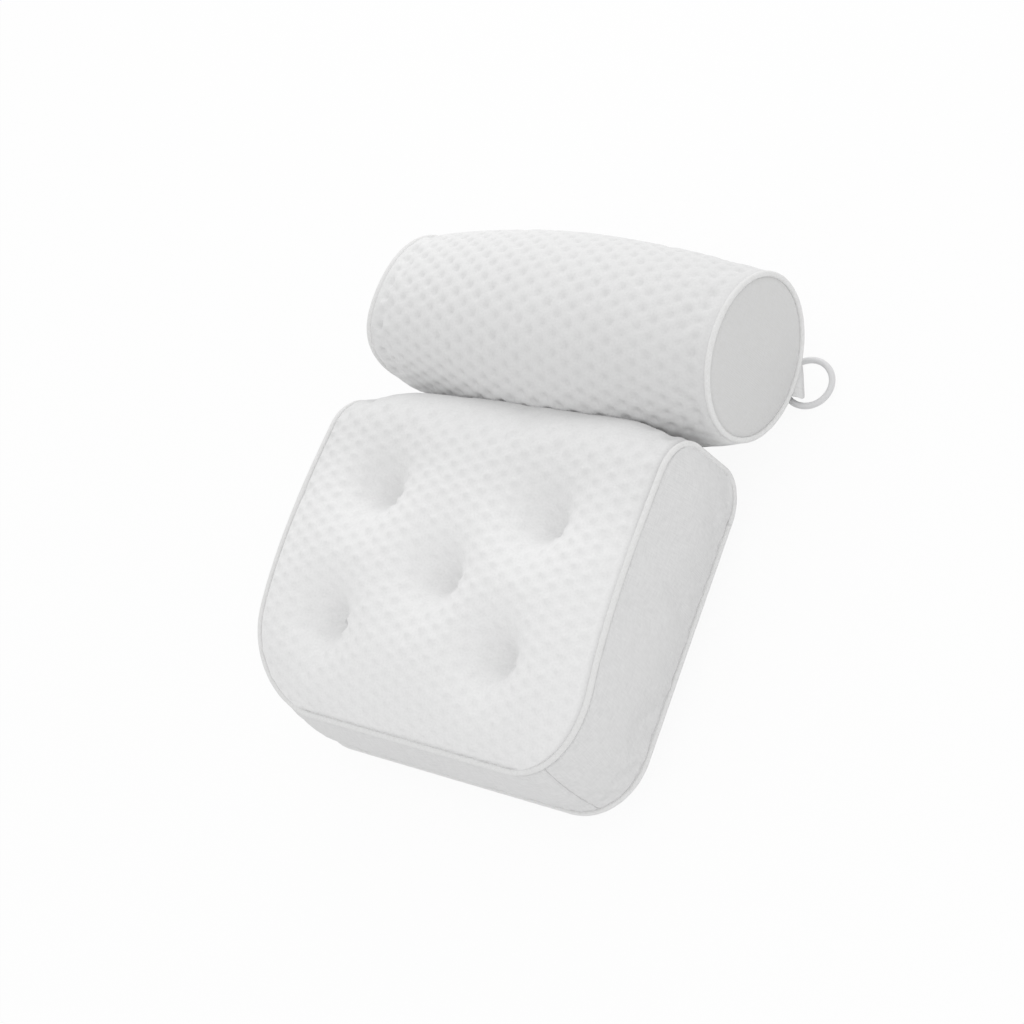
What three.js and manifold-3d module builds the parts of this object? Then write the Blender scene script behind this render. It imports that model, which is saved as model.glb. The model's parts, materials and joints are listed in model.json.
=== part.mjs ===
// Bath pillow: a wedge-shaped back pad and a head roll of white air mesh, joined by a cloth hinge strip.
// It lies on its six suction cups. Millimetres, +Z out of the face, +Y towards the head roll, +X to the
// right of someone who faces it. The origin is at mid height on the plane of the cup rims.
import * as THREE from "three";
import { mergeVertices } from "three/addons/utils/BufferGeometryUtils.js";
import Module from "manifold-3d";

// Back pad
const PAD_WIDTH = 302; // between the front seams
const PAD_SIDE_TAPER = 5.5; // how far a rear side seam lies inside the front one
const PAD_HEIGHT = 239; // bottom front seam to the top
const PAD_BOTTOM_RAKE = 5; // how far the rear seam reaches below the front one
const PAD_THICKNESS = 98; // rear face to the front seam, at its fullest
const PAD_BOTTOM_SETBACK = 33; // how far the front seam falls back at the bottom
const PAD_TOP_SETBACK = 5; // how far it falls back at the top
const PAD_TOP_FRONT_ROUND = 40;
const PAD_TOP_BACK_ROUND = 27;
const PAD_FRONT_CORNER = 61;
const PAD_BACK_CORNER = 45;
const PAD_CROWN = 15; // rise of the front cover above its seams
const PAD_TOP_CROWN = 9; // its rise where it runs over the top
const CROWN_SHOULDER = 60; // distance from a seam over which the crown rises
const GUSSET_SWELL = 3; // how far a gusset swells out between its seams
const CORNER_SEAM_ANGLE = 30; // degrees round a corner, from the bottom to the seam between gussets

// Tufts, sewn in a quincunx
const TUFT_DEPTH = 15;
const TUFT_RADIUS = 19;
const TUFT_SPREAD_X = 80;
const TUFT_SPREAD_Y = 51;
const TUFT_CENTRE_Y = 117; // middle tuft above the bottom front seam
const TIE_DIAMETER = 2.4;

// Head roll
const ROLL_LENGTH = 305; // between the end seams
const ROLL_HEIGHT = 113; // across the end seam, along Y
const ROLL_DEPTH = 98; // across the end seam, along Z
const ROLL_SWELL = 12; // how far its front swells half way along; its back is straight
const ROLL_CLEARANCE = 1; // between the swollen roll and the crown on the pad's top
const CAP_DOME = 5; // how far an end cap swells out

// Cloth
const MESH_THICKNESS = 3;
const MESH_EDGE = 2; // mesh pressed flat in a seam
const CLOTH_THICKNESS = 1.5;
const PIPING_DIAMETER = 4;
const SEAM_GAP = 0.3; // clearance between pieces that touch

// Hinge strip
const STRIP_INSET = 17; // from a roll cup's axis to the strip's side
const STRIP_THICKNESS = 2;
const STRIP_OVERLAP = 12; // sewn length on the rear panel
const STRIP_CORNER = 6;
const STRIP_SEAM_STEPS = 2; // sewn length on the roll, in facets of its section

// Suction cups and their eyelets
const CUP_DIAMETER = 50;
const CUP_LIP = 3; // width of the flat rim
const CUP_LIP_HEIGHT = 1.2;
const CUP_HOLLOW = 7; // depth of the hollow under the cup
const CUP_STANDOFF = 16; // rim to the cloth that carries the cup
const CUP_SHOULDER_DIAMETER = 15;
const CUP_STEM_DIAMETER = 8;
const CUP_KNOB_DIAMETER = 15;
const CUP_KNOB_HEIGHT = 5;
const CUP_KNOB_TOP_DIAMETER = 9;
const CUP_KNOB_EDGE = 2.2; // height of the knob's straight side
const CUP_POCKET_PLAY = 1; // knob and eyelet to the filling
const EYELET_DIAMETER = 20;
const EYELET_INNER_DIAMETER = 17;
const EYELET_WALL = 1.2;
const EYELET_FLANGE = 1;
const EYELET_PLAY = 0.4; // stem to eyelet bore
const PAD_CUP_SIDE = 50.5; // pad cups, from the rear seam at the side
const PAD_CUP_INSET = 40; // lower cups, from the bottom front seam
const CUP_STRIP_SPACE = 16; // upper cups, from the hinge strip's sewn edge
const CUP_TAB_SPACE = 14; // roll cups, from the tab's root

// Hanging ring and its tab
const RING_DIAMETER = 38;
const RING_WIRE = 4.5;
const RING_TILT = 12; // degrees that the ring hangs back
const TAB_WIDTH = 16;
const TAB_PLY = 1.2;
const TAB_PLAY = 0.5; // wire to cloth
const TAB_LOOP = 16; // inner length of the loop
const TAB_ROOT = 16; // sewn length beyond the loop
const TAB_REACH = 2; // how far the fold reaches past the end seam
const TAB_OFFSET_Y = 2; // from the roll's axis

// Facets
const CORNER_STEPS = 8; // of a bottom corner
const SIDE_STEPS = 10;
const ROUND_STEPS = 4;
const COVER_COLUMNS = 18;
const ROLL_FACETS = 32;
const ROLL_COLUMNS = 10;
const PIPING_SIDES = 8;
const LATHE_FACETS = 16;
const TIE_SIDES = 6;
const GUSSET_COLUMNS = 3;
const STRIP_COLUMNS = 5;
const STRIP_CORNER_STEPS = 4;
const LOOP_STEPS = 10; // of a half turn of the tab
const RING_FACETS = 32;
const RING_SIDES = 8;
const CAP_RINGS = [0.4, 0.75, 1]; // shares of an end cap's radius
const CUP_RINGS = [0, 0.35, 0.7, 1]; // shares of the way along a cup's hollow and bell

// Powers of curves
const EDGE_CURVE = 4; // the front seam's fall towards its ends
const BELL_CURVE = 1.5; // a cup's bell

// Sizes that follow from the driving dimensions
const padBackWidth = PAD_WIDTH - 2 * PAD_SIDE_TAPER;
const pipingRadius = PIPING_DIAMETER / 2;
const seamClear = pipingRadius + SEAM_GAP;
const rearFace = CUP_STANDOFF;
const panelInside = rearFace + MESH_THICKNESS;
const rearSeamZ = rearFace + MESH_THICKNESS / 2;
const frontTop = PAD_HEIGHT - PAD_TOP_FRONT_ROUND;
const rearTop = PAD_HEIGHT - PAD_TOP_BACK_ROUND;
const frontRoundZ = edgeZ(frontTop) - PAD_TOP_FRONT_ROUND;
const rearRoundZ = rearSeamZ + PAD_TOP_BACK_ROUND;

const rollA = ROLL_HEIGHT / 2;
const rollB = ROLL_DEPTH / 2;
const rollReachY = rollA + MESH_EDGE / 2 + ROLL_SWELL / 2;
const rollY = PAD_HEIGHT + MESH_EDGE / 2 + PAD_TOP_CROWN + ROLL_CLEARANCE + rollReachY;
const rollZ = rearFace + rollB + MESH_EDGE / 2;
const padLowest = -PAD_BOTTOM_RAKE - pipingRadius;
const midHeight = (rollY + rollReachY + padLowest) / 2;

const hingeY = (PAD_HEIGHT + rollY - rollA) / 2;
const stripTop = rearFace - SEAM_GAP;
const stripRear = stripTop - STRIP_THICKNESS;
const stripLow = rearTop - STRIP_OVERLAP;

const ringRadius = (RING_DIAMETER - RING_WIRE) / 2;
const ringSag = ringRadius - Math.sqrt(ringRadius ** 2 - (TAB_WIDTH / 2) ** 2);
const loopHeight = RING_WIRE + ringSag + 2 * TAB_PLAY;
const loopEnd = ROLL_LENGTH / 2 + TAB_REACH - TAB_PLY;
const loopStart = loopEnd - TAB_LOOP;
const tabRootX = loopStart - TAB_ROOT;
const rollCupX = tabRootX - CUP_TAB_SPACE;
const stripHalf = rollCupX - STRIP_INSET;

const wasm = await Module();
wasm.setup();

// Solids

/** Turns the triangles round if the closed surface has its faces pointing inwards. */
function facingOut(geometry) {
  const p = geometry.getAttribute("position");
  const index = geometry.index.array;
  const [a, b, c] = [new THREE.Vector3(), new THREE.Vector3(), new THREE.Vector3()];
  let volume = 0;
  for (let i = 0; i < index.length; i += 3) {
    a.fromBufferAttribute(p, index[i]);
    b.fromBufferAttribute(p, index[i + 1]);
    c.fromBufferAttribute(p, index[i + 2]);
    volume += a.dot(b.cross(c));
  }
  if (volume < 0) index.reverse();
  return geometry;
}

/**
 * A closed surface through rings of points. A ring is listed there and back, so that point k faces point
 * 2m - 1 - k across it, and an end ring is closed by triangles between such pairs.
 */
function loft(rings, closed = false) {
  const count = rings[0].length;
  const index = [];
  const spans = closed ? rings.length : rings.length - 1;
  for (let i = 0; i < spans; i++) {
    const a = i * count;
    const b = ((i + 1) % rings.length) * count;
    for (let k = 0; k < count; k++) {
      const n = (k + 1) % count;
      index.push(a + k, a + n, b + k, a + n, b + n, b + k);
    }
  }
  const ends = closed ? [] : [0, (rings.length - 1) * count];
  for (const start of ends) {
    for (let k = 0; k < count / 2 - 1; k++) {
      const far = count - 1 - k;
      const quad = [start + k, start + far, start + k + 1, start + k + 1, start + far, start + far - 1];
      index.push(...(start ? quad.reverse() : quad));
    }
  }
  const geometry = new THREE.BufferGeometry();
  const points = rings.flat().flatMap((p) => [p.x, p.y, p.z]);
  geometry.setAttribute("position", new THREE.Float32BufferAttribute(points, 3));
  geometry.setIndex(index);
  return facingOut(geometry);
}

/** A round tube along points that set out square to Z. Its rings are square to the path and don't twist. */
function tube(points, radius, sides) {
  const across = new THREE.Vector3(0, 0, 1);
  const rings = points.map((p, i) => {
    const before = points[Math.max(i - 1, 0)];
    const after = points[Math.min(i + 1, points.length - 1)];
    const along = after.clone().sub(before).normalize();
    across.addScaledVector(along, -across.dot(along)).normalize();
    const up = along.clone().cross(across);
    return circle(p, across, up, radius, sides);
  });
  return loft(rings);
}

/** Points of a circle about a centre, in the plane of two unit vectors. */
function circle(centre, u, v, radius, sides) {
  return Array.from({ length: sides }, (_, k) => {
    const angle = ((k + 0.5) * 2 * Math.PI) / sides;
    return centre
      .clone()
      .addScaledVector(u, radius * Math.cos(angle))
      .addScaledVector(v, radius * Math.sin(angle));
  });
}

/** A body turned about the vertical through x, y, from a profile of [radius, height] pairs. */
function turned(profile, x, y, facets) {
  const points = profile.map(([r, h]) => new THREE.Vector2(r, h));
  return new THREE.LatheGeometry(points, facets).rotateX(Math.PI / 2).translate(x, y, 0);
}

function toSolid(geometry) {
  const bare = geometry.clone();
  bare.deleteAttribute("normal");
  bare.deleteAttribute("uv");
  const merged = mergeVertices(bare, 1e-4);
  const vertProperties = merged.getAttribute("position").array;
  const triVerts = new Uint32Array(merged.index.array);
  return new wasm.Manifold(new wasm.Mesh({ numProp: 3, vertProperties, triVerts }));
}

/** A geometry with other closed geometries cut out of it. */
function cut(geometry, tools) {
  const solid = tools.reduce((rest, tool) => rest.subtract(toSolid(tool)), toSolid(geometry));
  const mesh = solid.getMesh();
  const result = new THREE.BufferGeometry();
  result.setAttribute("position", new THREE.BufferAttribute(mesh.vertProperties, 3));
  result.setIndex(new THREE.BufferAttribute(mesh.triVerts, 1));
  return result;
}

function lerp(a, b, share) {
  return a + (b - a) * share;
}

function steps(count) {
  return Array.from({ length: count + 1 }, (_, i) => i / count);
}

// Form of the back pad

/** Height of the front seam above the cup rims: full in the middle, falling back to both ends. */
function edgeZ(y) {
  const share = y / PAD_HEIGHT;
  const fall = PAD_BOTTOM_SETBACK * (1 - share) ** EDGE_CURVE + PAD_TOP_SETBACK * share ** EDGE_CURVE;
  return rearFace + PAD_THICKNESS - fall;
}

/** Half the pad's width at a height, on the flat planes that its two sides lie in. */
function halfWidth(z) {
  return lerp(padBackWidth, PAD_WIDTH, (z - rearFace) / PAD_THICKNESS) / 2;
}

/**
 * Half an outline with one round bottom corner, inset from the seam: from the middle of the bottom, round
 * the corner, to the side. Each row has its y, its half width less the straight side's, and its direction out.
 */
function cornerRows(radius, bottom, inset, from = 0, to = Math.PI / 2) {
  const r = radius - inset;
  return steps(CORNER_STEPS).map((share) => {
    const angle = lerp(from, to, share);
    return {
      y: bottom + inset + r * (1 - Math.cos(angle)),
      narrow: inset + r * (1 - Math.sin(angle)),
      out: new THREE.Vector3(Math.sin(angle), -Math.cos(angle), 0),
    };
  });
}

const sideOut = new THREE.Vector3(1, 0, 0);

/** Straight rows of a side between two heights, without the first. */
function sideRows(from, to, inset) {
  return steps(SIDE_STEPS).slice(1).map((share) => ({ y: lerp(from, to, share), narrow: inset, out: sideOut }));
}

function onSeam(row, z) {
  return { ...row, z, half: halfWidth(z) - row.narrow };
}

function onFrontSeam(row) {
  return onSeam(row, edgeZ(row.y));
}

function onRearSeam(row) {
  return onSeam(row, rearSeamZ);
}

/** Rows of the front seam from the bottom, round the corner and up the side to the top round. */
function frontRows(inset) {
  const corner = cornerRows(PAD_FRONT_CORNER, 0, inset);
  return [...corner, ...sideRows(PAD_FRONT_CORNER, frontTop, inset)].map(onFrontSeam);
}

/** Rows of the rear seam that answer those of the front one. */
function rearRows(inset) {
  const corner = cornerRows(PAD_BACK_CORNER, -PAD_BOTTOM_RAKE, inset);
  return [...corner, ...sideRows(PAD_BACK_CORNER - PAD_BOTTOM_RAKE, rearTop, inset)].map(onRearSeam);
}

/** Rows of an upper corner of the pad's side view, from one angle to another about its centre. */
function roundRows(radius, centreZ, from, to, inset) {
  return steps(ROUND_STEPS).slice(1).map((share) => {
    const angle = lerp(from, to, share);
    const y = PAD_HEIGHT - radius + radius * Math.cos(angle);
    const z = centreZ + radius * Math.sin(angle);
    return { y, z, half: halfWidth(z) - inset, out: sideOut };
  });
}

function frontRoundRows(inset) {
  return roundRows(PAD_TOP_FRONT_ROUND, frontRoundZ, Math.PI / 2, 0, inset);
}

/** Rows of the whole front cover: up the front, over the top and down to the rear panel. */
function coverRows(inset) {
  const topEnd = { y: PAD_HEIGHT, z: rearRoundZ, half: halfWidth(rearRoundZ) - inset, out: sideOut };
  const rows = [
    ...frontRows(inset),
    ...frontRoundRows(inset),
    topEnd,
    ...roundRows(PAD_TOP_BACK_ROUND, rearRoundZ, 0, -Math.PI / 2, inset),
  ];
  let run = 0;
  rows.forEach((row, i) => {
    const before = rows[Math.max(i - 1, 0)];
    const after = rows[Math.min(i + 1, rows.length - 1)];
    const slope = new THREE.Vector2(after.y - before.y, after.z - before.z).normalize();
    row.normal = new THREE.Vector3(0, -slope.y, slope.x);
    run += Math.hypot(row.y - before.y, row.z - before.z);
    row.run = run;
  });
  rows.forEach((row) => (row.left = run - row.run));
  return rows;
}

const tufts = [
  [-TUFT_SPREAD_X, TUFT_CENTRE_Y + TUFT_SPREAD_Y],
  [TUFT_SPREAD_X, TUFT_CENTRE_Y + TUFT_SPREAD_Y],
  [0, TUFT_CENTRE_Y],
  [-TUFT_SPREAD_X, TUFT_CENTRE_Y - TUFT_SPREAD_Y],
  [TUFT_SPREAD_X, TUFT_CENTRE_Y - TUFT_SPREAD_Y],
];

/** A rise from 0 at a seam to 1 at the given distance from it. */
function shoulder(distance, reach) {
  return 1 - (1 - Math.min(Math.max(distance, 0) / reach, 1)) ** 2;
}

/** How full the cover is at x on a row: 0 on its seams and 1 well inside them. */
function fullness(row, x) {
  const side = shoulder(row.half - Math.abs(x), CROWN_SHOULDER);
  return side * shoulder(row.run, CROWN_SHOULDER) * shoulder(row.left, CROWN_SHOULDER);
}

/** How far the cover's outer face stands off its seams: its crown, less the dips of the tufts in the front. */
function coverRise(row, x) {
  const facing = Math.max(row.normal.z, 0);
  const dip = tufts.reduce((sum, [tuftX, tuftY]) => {
    return sum + Math.exp(-((x - tuftX) ** 2 + (row.y - tuftY) ** 2) / TUFT_RADIUS ** 2);
  }, 0);
  const crown = lerp(PAD_TOP_CROWN, PAD_CROWN, facing);
  return MESH_EDGE / 2 + crown * fullness(row, x) - TUFT_DEPTH * facing * dip;
}

function coverDepth(row, x) {
  return lerp(MESH_EDGE, MESH_THICKNESS, fullness(row, x));
}

/** Points across a row of the cover, at a depth under its outer face. */
function coverLine(row, depthAt) {
  return steps(COVER_COLUMNS).map((share) => {
    const x = lerp(-row.half, row.half, share);
    const point = new THREE.Vector3(x, row.y, row.z);
    return point.addScaledVector(row.normal, coverRise(row, x) - depthAt(row, x));
  });
}

function padFrontCover() {
  const outside = () => 0;
  return loft(
    coverRows(seamClear).map((row) => [...coverLine(row, outside), ...coverLine(row, coverDepth).reverse()]),
  );
}

/** The filling: its front follows the inside of the cover, and its back lies on the rear panel. */
function padCore() {
  const rows = coverRows(seamClear).slice(0, -1);
  const rear = cornerRows(PAD_BACK_CORNER, -PAD_BOTTOM_RAKE, seamClear);
  const rearZ = panelInside + SEAM_GAP;
  const rings = rows.map((row, i) => {
    const sideShare = (i - CORNER_STEPS) / (rows.length - 1 - CORNER_STEPS);
    const straightY = lerp(PAD_BACK_CORNER - PAD_BOTTOM_RAKE, rearTop, sideShare);
    const y = i > CORNER_STEPS ? straightY : rear[i].y;
    const half = halfWidth(rearZ) - (i > CORNER_STEPS ? seamClear : rear[i].narrow);
    const back = steps(COVER_COLUMNS).map((share) => new THREE.Vector3(lerp(-half, half, share), y, rearZ));
    const front = coverLine(row, (r, x) => coverDepth(r, x) + SEAM_GAP);
    return [...back, ...front.reverse()];
  });
  const tieHoles = tufts.map(([x, y]) => {
    return rod(x, y, TIE_DIAMETER / 2 + SEAM_GAP, rearFace, rearFace + 2 * PAD_THICKNESS, TIE_SIDES);
  });
  return cut(loft(rings), [...padCups.map(cupPocket), ...tieHoles]);
}

/** An upright round bar between two heights. */
function rod(x, y, radius, low, high, facets) {
  return turned([[0, low], [radius, low], [radius, high], [0, high]], x, y, facets);
}

/** The thread that draws a tuft in, from the rear panel to the underside of the cover. */
function tuftTie([x, y]) {
  const z = edgeZ(y);
  const half = halfWidth(z) - seamClear;
  const row = { y, z, half, run: y, left: PAD_HEIGHT - y + CROWN_SHOULDER, normal: new THREE.Vector3(0, 0, 1) };
  const high = z + coverRise(row, x) - coverDepth(row, x) - SEAM_GAP - TIE_DIAMETER / 2;
  return rod(x, y, TIE_DIAMETER / 2, panelInside + SEAM_GAP, high, TIE_SIDES);
}

function mirrored(point) {
  return new THREE.Vector3(-point.x, point.y, point.z);
}

/** A strip of plain cloth between two lists of edge points, swollen out between them. */
function clothStrip(backEdge, frontEdge, outward) {
  const line = (i, off) => steps(GUSSET_COLUMNS).map((share) => {
    const swell = GUSSET_SWELL * shoulder(PAD_HEIGHT - seamClear - backEdge[i].y, CROWN_SHOULDER);
    const point = backEdge[i].clone().lerp(frontEdge[i], share);
    return point.addScaledVector(outward[i], off + swell * 4 * share * (1 - share));
  });
  const half = CLOTH_THICKNESS / 2;
  return loft(backEdge.map((_, i) => [...line(i, half), ...line(i, -half).reverse()]));
}

function seamPoint(row) {
  return new THREE.Vector3(row.half, row.y, row.z);
}

/** Edges of the right-hand cloth band between two rows, each drawn in from its piping. */
function bandEdges(front, rear) {
  const edges = { back: [], front: [], out: [] };
  front.forEach((row, i) => {
    const f = seamPoint(row);
    const r = seamPoint(rear[i]);
    const across = r.clone().sub(f).normalize();
    edges.front.push(f.clone().addScaledVector(across, seamClear));
    edges.back.push(r.clone().addScaledVector(across, -seamClear));
    edges.out.push(row.out);
  });
  return edges;
}

/** Corner rows of both seams from one angle to another, as seam points. */
function cornerBand(from, to) {
  const front = cornerRows(PAD_FRONT_CORNER, 0, 0, from, to).map(onFrontSeam);
  const rear = cornerRows(PAD_BACK_CORNER, -PAD_BOTTOM_RAKE, 0, from, to).map(onRearSeam);
  return bandEdges(front, rear);
}

const cornerSeamAngle = THREE.MathUtils.degToRad(CORNER_SEAM_ANGLE);
const cornerSeamHalfGap = SEAM_GAP / 2 / (PAD_BACK_CORNER - PIPING_DIAMETER);

/** One side gusset: from the corner seam up the side, with a round top inside the piping. */
function sideGusset(side) {
  const lower = cornerBand(cornerSeamAngle + cornerSeamHalfGap, Math.PI / 2);
  const upper = bandEdges(frontRows(0).slice(CORNER_STEPS + 1), rearRows(0).slice(CORNER_STEPS + 1));
  const topFront = frontRoundRows(0);
  const topRear = roundRows(PAD_TOP_BACK_ROUND, rearRoundZ, -Math.PI / 2, 0, 0);
  const inward = (row, centreY, centreZ) => {
    const point = seamPoint(row);
    const centre = new THREE.Vector3(row.half, centreY, centreZ);
    return point.addScaledVector(centre.sub(point).normalize(), seamClear);
  };
  const back = [...lower.back, ...upper.back, ...topRear.map((row) => inward(row, rearTop, rearRoundZ))];
  const front = [...lower.front, ...upper.front, ...topFront.map((row) => inward(row, frontTop, frontRoundZ))];
  const out = [...lower.out, ...upper.out, ...topFront.map(() => sideOut)];
  if (side > 0) return clothStrip(back, front, out);
  return clothStrip(back.map(mirrored), front.map(mirrored), out.map(mirrored));
}

/** The bottom gusset, from corner seam to corner seam. */
function bottomGusset() {
  const right = cornerBand(0, cornerSeamAngle - cornerSeamHalfGap);
  const across = (points) => [...points.map(mirrored).reverse(), ...points];
  return clothStrip(across(right.back), across(right.front), across(right.out));
}

const pipingJoinY = rearTop - pipingRadius;

/** Piping on the front seam: from the rear panel over the left gusset, round the bottom and back up. */
function frontPiping() {
  const right = coverRows(0).map(seamPoint);
  right.push(right.at(-1).clone().setY(pipingJoinY));
  return tube([...right.map(mirrored).reverse(), ...right], pipingRadius, PIPING_SIDES);
}

/** Piping on the rear seam, meeting the front piping end to end below the top. */
function rearPiping() {
  const right = rearRows(0).map(seamPoint);
  right.at(-1).y = pipingJoinY - SEAM_GAP;
  return tube([...right.map(mirrored).reverse(), ...right], pipingRadius, PIPING_SIDES);
}

/** The flat rear panel inside its piping, with a hole for each suction cup. */
function rearPanel() {
  const half = halfWidth(rearSeamZ) - seamClear;
  const bottom = -PAD_BOTTOM_RAKE + seamClear;
  const radius = PAD_BACK_CORNER - seamClear;
  const top = rearTop - SEAM_GAP;
  const shape = new THREE.Shape();
  shape.moveTo(half, top);
  shape.lineTo(-half, top);
  shape.absarc(-half + radius, bottom + radius, radius, Math.PI, 1.5 * Math.PI);
  shape.absarc(half - radius, bottom + radius, radius, 1.5 * Math.PI, 2 * Math.PI);
  const plate = new THREE.ExtrudeGeometry(shape, {
    depth: MESH_THICKNESS,
    bevelEnabled: false,
    curveSegments: Math.ceil(CORNER_STEPS / 2),
  }).translate(0, 0, rearFace);
  return cut(plate, padCups.map(clothHole));
}

// Head roll

/** Share of the barrel's swell at a distance along the roll. */
function barrelShare(x) {
  return 1 - ((2 * x) / ROLL_LENGTH) ** 2;
}

/**
 * A point off the roll's section, at an angle from its top edge towards its front. The section is the end
 * seam's ellipse, swollen along the barrel: fully at the front, by half at the top and not at the back.
 */
function rollPoint(x, angle, off, share = 1) {
  const swell = (ROLL_SWELL * barrelShare(x) * (1 + Math.sin(angle))) / 2;
  const y = share * (rollA + off + swell) * Math.cos(angle);
  const z = share * (rollB + off + swell) * Math.sin(angle);
  return new THREE.Vector3(x, rollY + y, rollZ + z);
}

function rollAngles() {
  return steps(ROLL_FACETS).slice(0, -1).map((share) => 2 * Math.PI * share);
}

const rollReach = ROLL_LENGTH / 2 - seamClear;

/** Places along the roll from end to end of its cover. */
function rollStations() {
  return steps(ROLL_COLUMNS).map((share) => lerp(-rollReach, rollReach, share));
}

const rollOuter = MESH_EDGE / 2;

function rollInner(x) {
  return rollOuter - lerp(MESH_EDGE, MESH_THICKNESS, barrelShare(x));
}

function rollCover() {
  const rings = rollAngles().map((angle) => {
    const outside = rollStations().map((x) => rollPoint(x, angle, rollOuter));
    const inside = rollStations().map((x) => rollPoint(x, angle, rollInner(x)));
    return [...outside, ...inside.reverse()];
  });
  return cut(loft(rings, true), rollCups.map(clothHole));
}

/** Outward swell of an end cap at a share of its radius. */
function capSwell(share) {
  return CAP_DOME * (1 - share ** 2);
}

/** One end cap: an oval of plain cloth, swollen outwards. */
function rollEndCap(side) {
  const outside = CAP_RINGS.map((s) => [s, capSwell(s) + CLOTH_THICKNESS / 2]);
  const inside = CAP_RINGS.map((s) => [s, capSwell(s) - CLOTH_THICKNESS / 2]);
  const profile = [
    [0, CAP_DOME - CLOTH_THICKNESS / 2],
    ...inside,
    ...outside.reverse(),
    [0, CAP_DOME + CLOTH_THICKNESS / 2],
  ];
  const points = profile.map(([r, h]) => new THREE.Vector2(r, h));
  return new THREE.LatheGeometry(points, ROLL_FACETS)
    .rotateZ((-side * Math.PI) / 2)
    .scale(1, rollA - seamClear, rollB - seamClear)
    .translate((side * ROLL_LENGTH) / 2, rollY, rollZ);
}

/** Piping round one end of the roll. */
function rollPiping(side) {
  const x = (side * ROLL_LENGTH) / 2;
  const along = new THREE.Vector3(1, 0, 0);
  const rings = rollAngles().map((angle) => {
    const normal = new THREE.Vector3(0, Math.cos(angle) / rollA, Math.sin(angle) / rollB).normalize();
    return circle(rollPoint(x, angle, 0), along, normal, pipingRadius, PIPING_SIDES);
  });
  return loft(rings, true);
}

/** The roll's filling, with domed ends and a pocket over each suction cup's knob. */
function rollCore() {
  const section = (x, off, share) => rollAngles().map((angle) => rollPoint(x, angle, off, share));
  const capInside = ROLL_LENGTH / 2 - CLOTH_THICKNESS / 2 - SEAM_GAP;
  const rimOff = -seamClear - SEAM_GAP;
  const dome = (side) => CAP_RINGS.map((s) => section(side * (capInside + capSwell(s)), rimOff, s));
  const barrel = rollStations().map((x) => section(x, rollInner(x) - SEAM_GAP));
  const rings = [...dome(-1), ...barrel, ...dome(1).reverse()];
  return cut(loft(rings), rollCups.map(cupPocket));
}

// Hinge strip

/** The lower leaf, sewn flat on the top of the rear panel. */
function stripLower() {
  const end = hingeY - SEAM_GAP / 2;
  const arcX = stripHalf - STRIP_CORNER;
  const arcY = stripLow + STRIP_CORNER;
  const shape = new THREE.Shape();
  shape.moveTo(stripHalf, end);
  shape.lineTo(-stripHalf, end);
  shape.absarc(-arcX, arcY, STRIP_CORNER, Math.PI, 1.5 * Math.PI);
  shape.absarc(arcX, arcY, STRIP_CORNER, 1.5 * Math.PI, 2 * Math.PI);
  return new THREE.ExtrudeGeometry(shape, {
    depth: STRIP_THICKNESS,
    bevelEnabled: false,
    curveSegments: STRIP_CORNER_STEPS / 2,
  }).translate(0, 0, stripRear);
}

/** The upper leaf: from the fold up to the back of the roll, then sewn along its section. */
function stripUpper() {
  const facet = (2 * Math.PI) / ROLL_FACETS;
  const sewn = steps(STRIP_SEAM_STEPS).map((share) => (share - 1) * STRIP_SEAM_STEPS * facet - Math.PI / 2);
  const start = hingeY + SEAM_GAP / 2;
  const rings = steps(STRIP_COLUMNS).map((share) => {
    const x = lerp(-stripHalf, stripHalf, share);
    const near = rollOuter + SEAM_GAP;
    const inside = sewn.map((angle) => rollPoint(x, angle, near));
    const outside = sewn.map((angle) => rollPoint(x, angle, near + STRIP_THICKNESS));
    return [
      new THREE.Vector3(x, start, stripTop),
      ...inside,
      ...outside.reverse(),
      new THREE.Vector3(x, start, stripRear),
    ];
  });
  return loft(rings);
}

// Suction cups and eyelets

const padCupX = padBackWidth / 2 - PAD_CUP_SIDE;
const padCups = [
  [-padCupX, PAD_CUP_INSET],
  [padCupX, PAD_CUP_INSET],
  [-padCupX, stripLow - CUP_STRIP_SPACE],
  [padCupX, stripLow - CUP_STRIP_SPACE],
];
const rollCups = [
  [-rollCupX, rollY],
  [rollCupX, rollY],
];

const stemRadius = CUP_STEM_DIAMETER / 2;
const boreRadius = stemRadius + EYELET_PLAY;
const barrelRadius = boreRadius + EYELET_WALL;
const flangeTop = rearFace - SEAM_GAP;
const flangeLow = flangeTop - EYELET_FLANGE;
// The roll's cover rises inside the eyelet's inner flange, because its section is curved.
const curveRise = rollB * (1 - Math.sqrt(1 - (EYELET_INNER_DIAMETER / 2 / rollA) ** 2));
const innerFlangeLow = panelInside + curveRise + SEAM_GAP;
const innerFlangeTop = innerFlangeLow + EYELET_FLANGE;
const knobLow = innerFlangeTop + SEAM_GAP;
const knobTop = knobLow + CUP_KNOB_HEIGHT;

/** The hollow in a filling over an eyelet and a cup's knob. */
function cupPocket([x, y]) {
  const radius = Math.max(EYELET_INNER_DIAMETER, CUP_KNOB_DIAMETER) / 2 + CUP_POCKET_PLAY;
  return rod(x, y, radius, 0, knobTop + CUP_POCKET_PLAY, LATHE_FACETS);
}

/** The hole in the cloth for an eyelet's barrel, wide enough between its facets too. */
function clothHole([x, y]) {
  const radius = (barrelRadius + SEAM_GAP) / Math.cos(Math.PI / LATHE_FACETS);
  return rod(x, y, radius, 0, innerFlangeTop, LATHE_FACETS);
}

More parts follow.
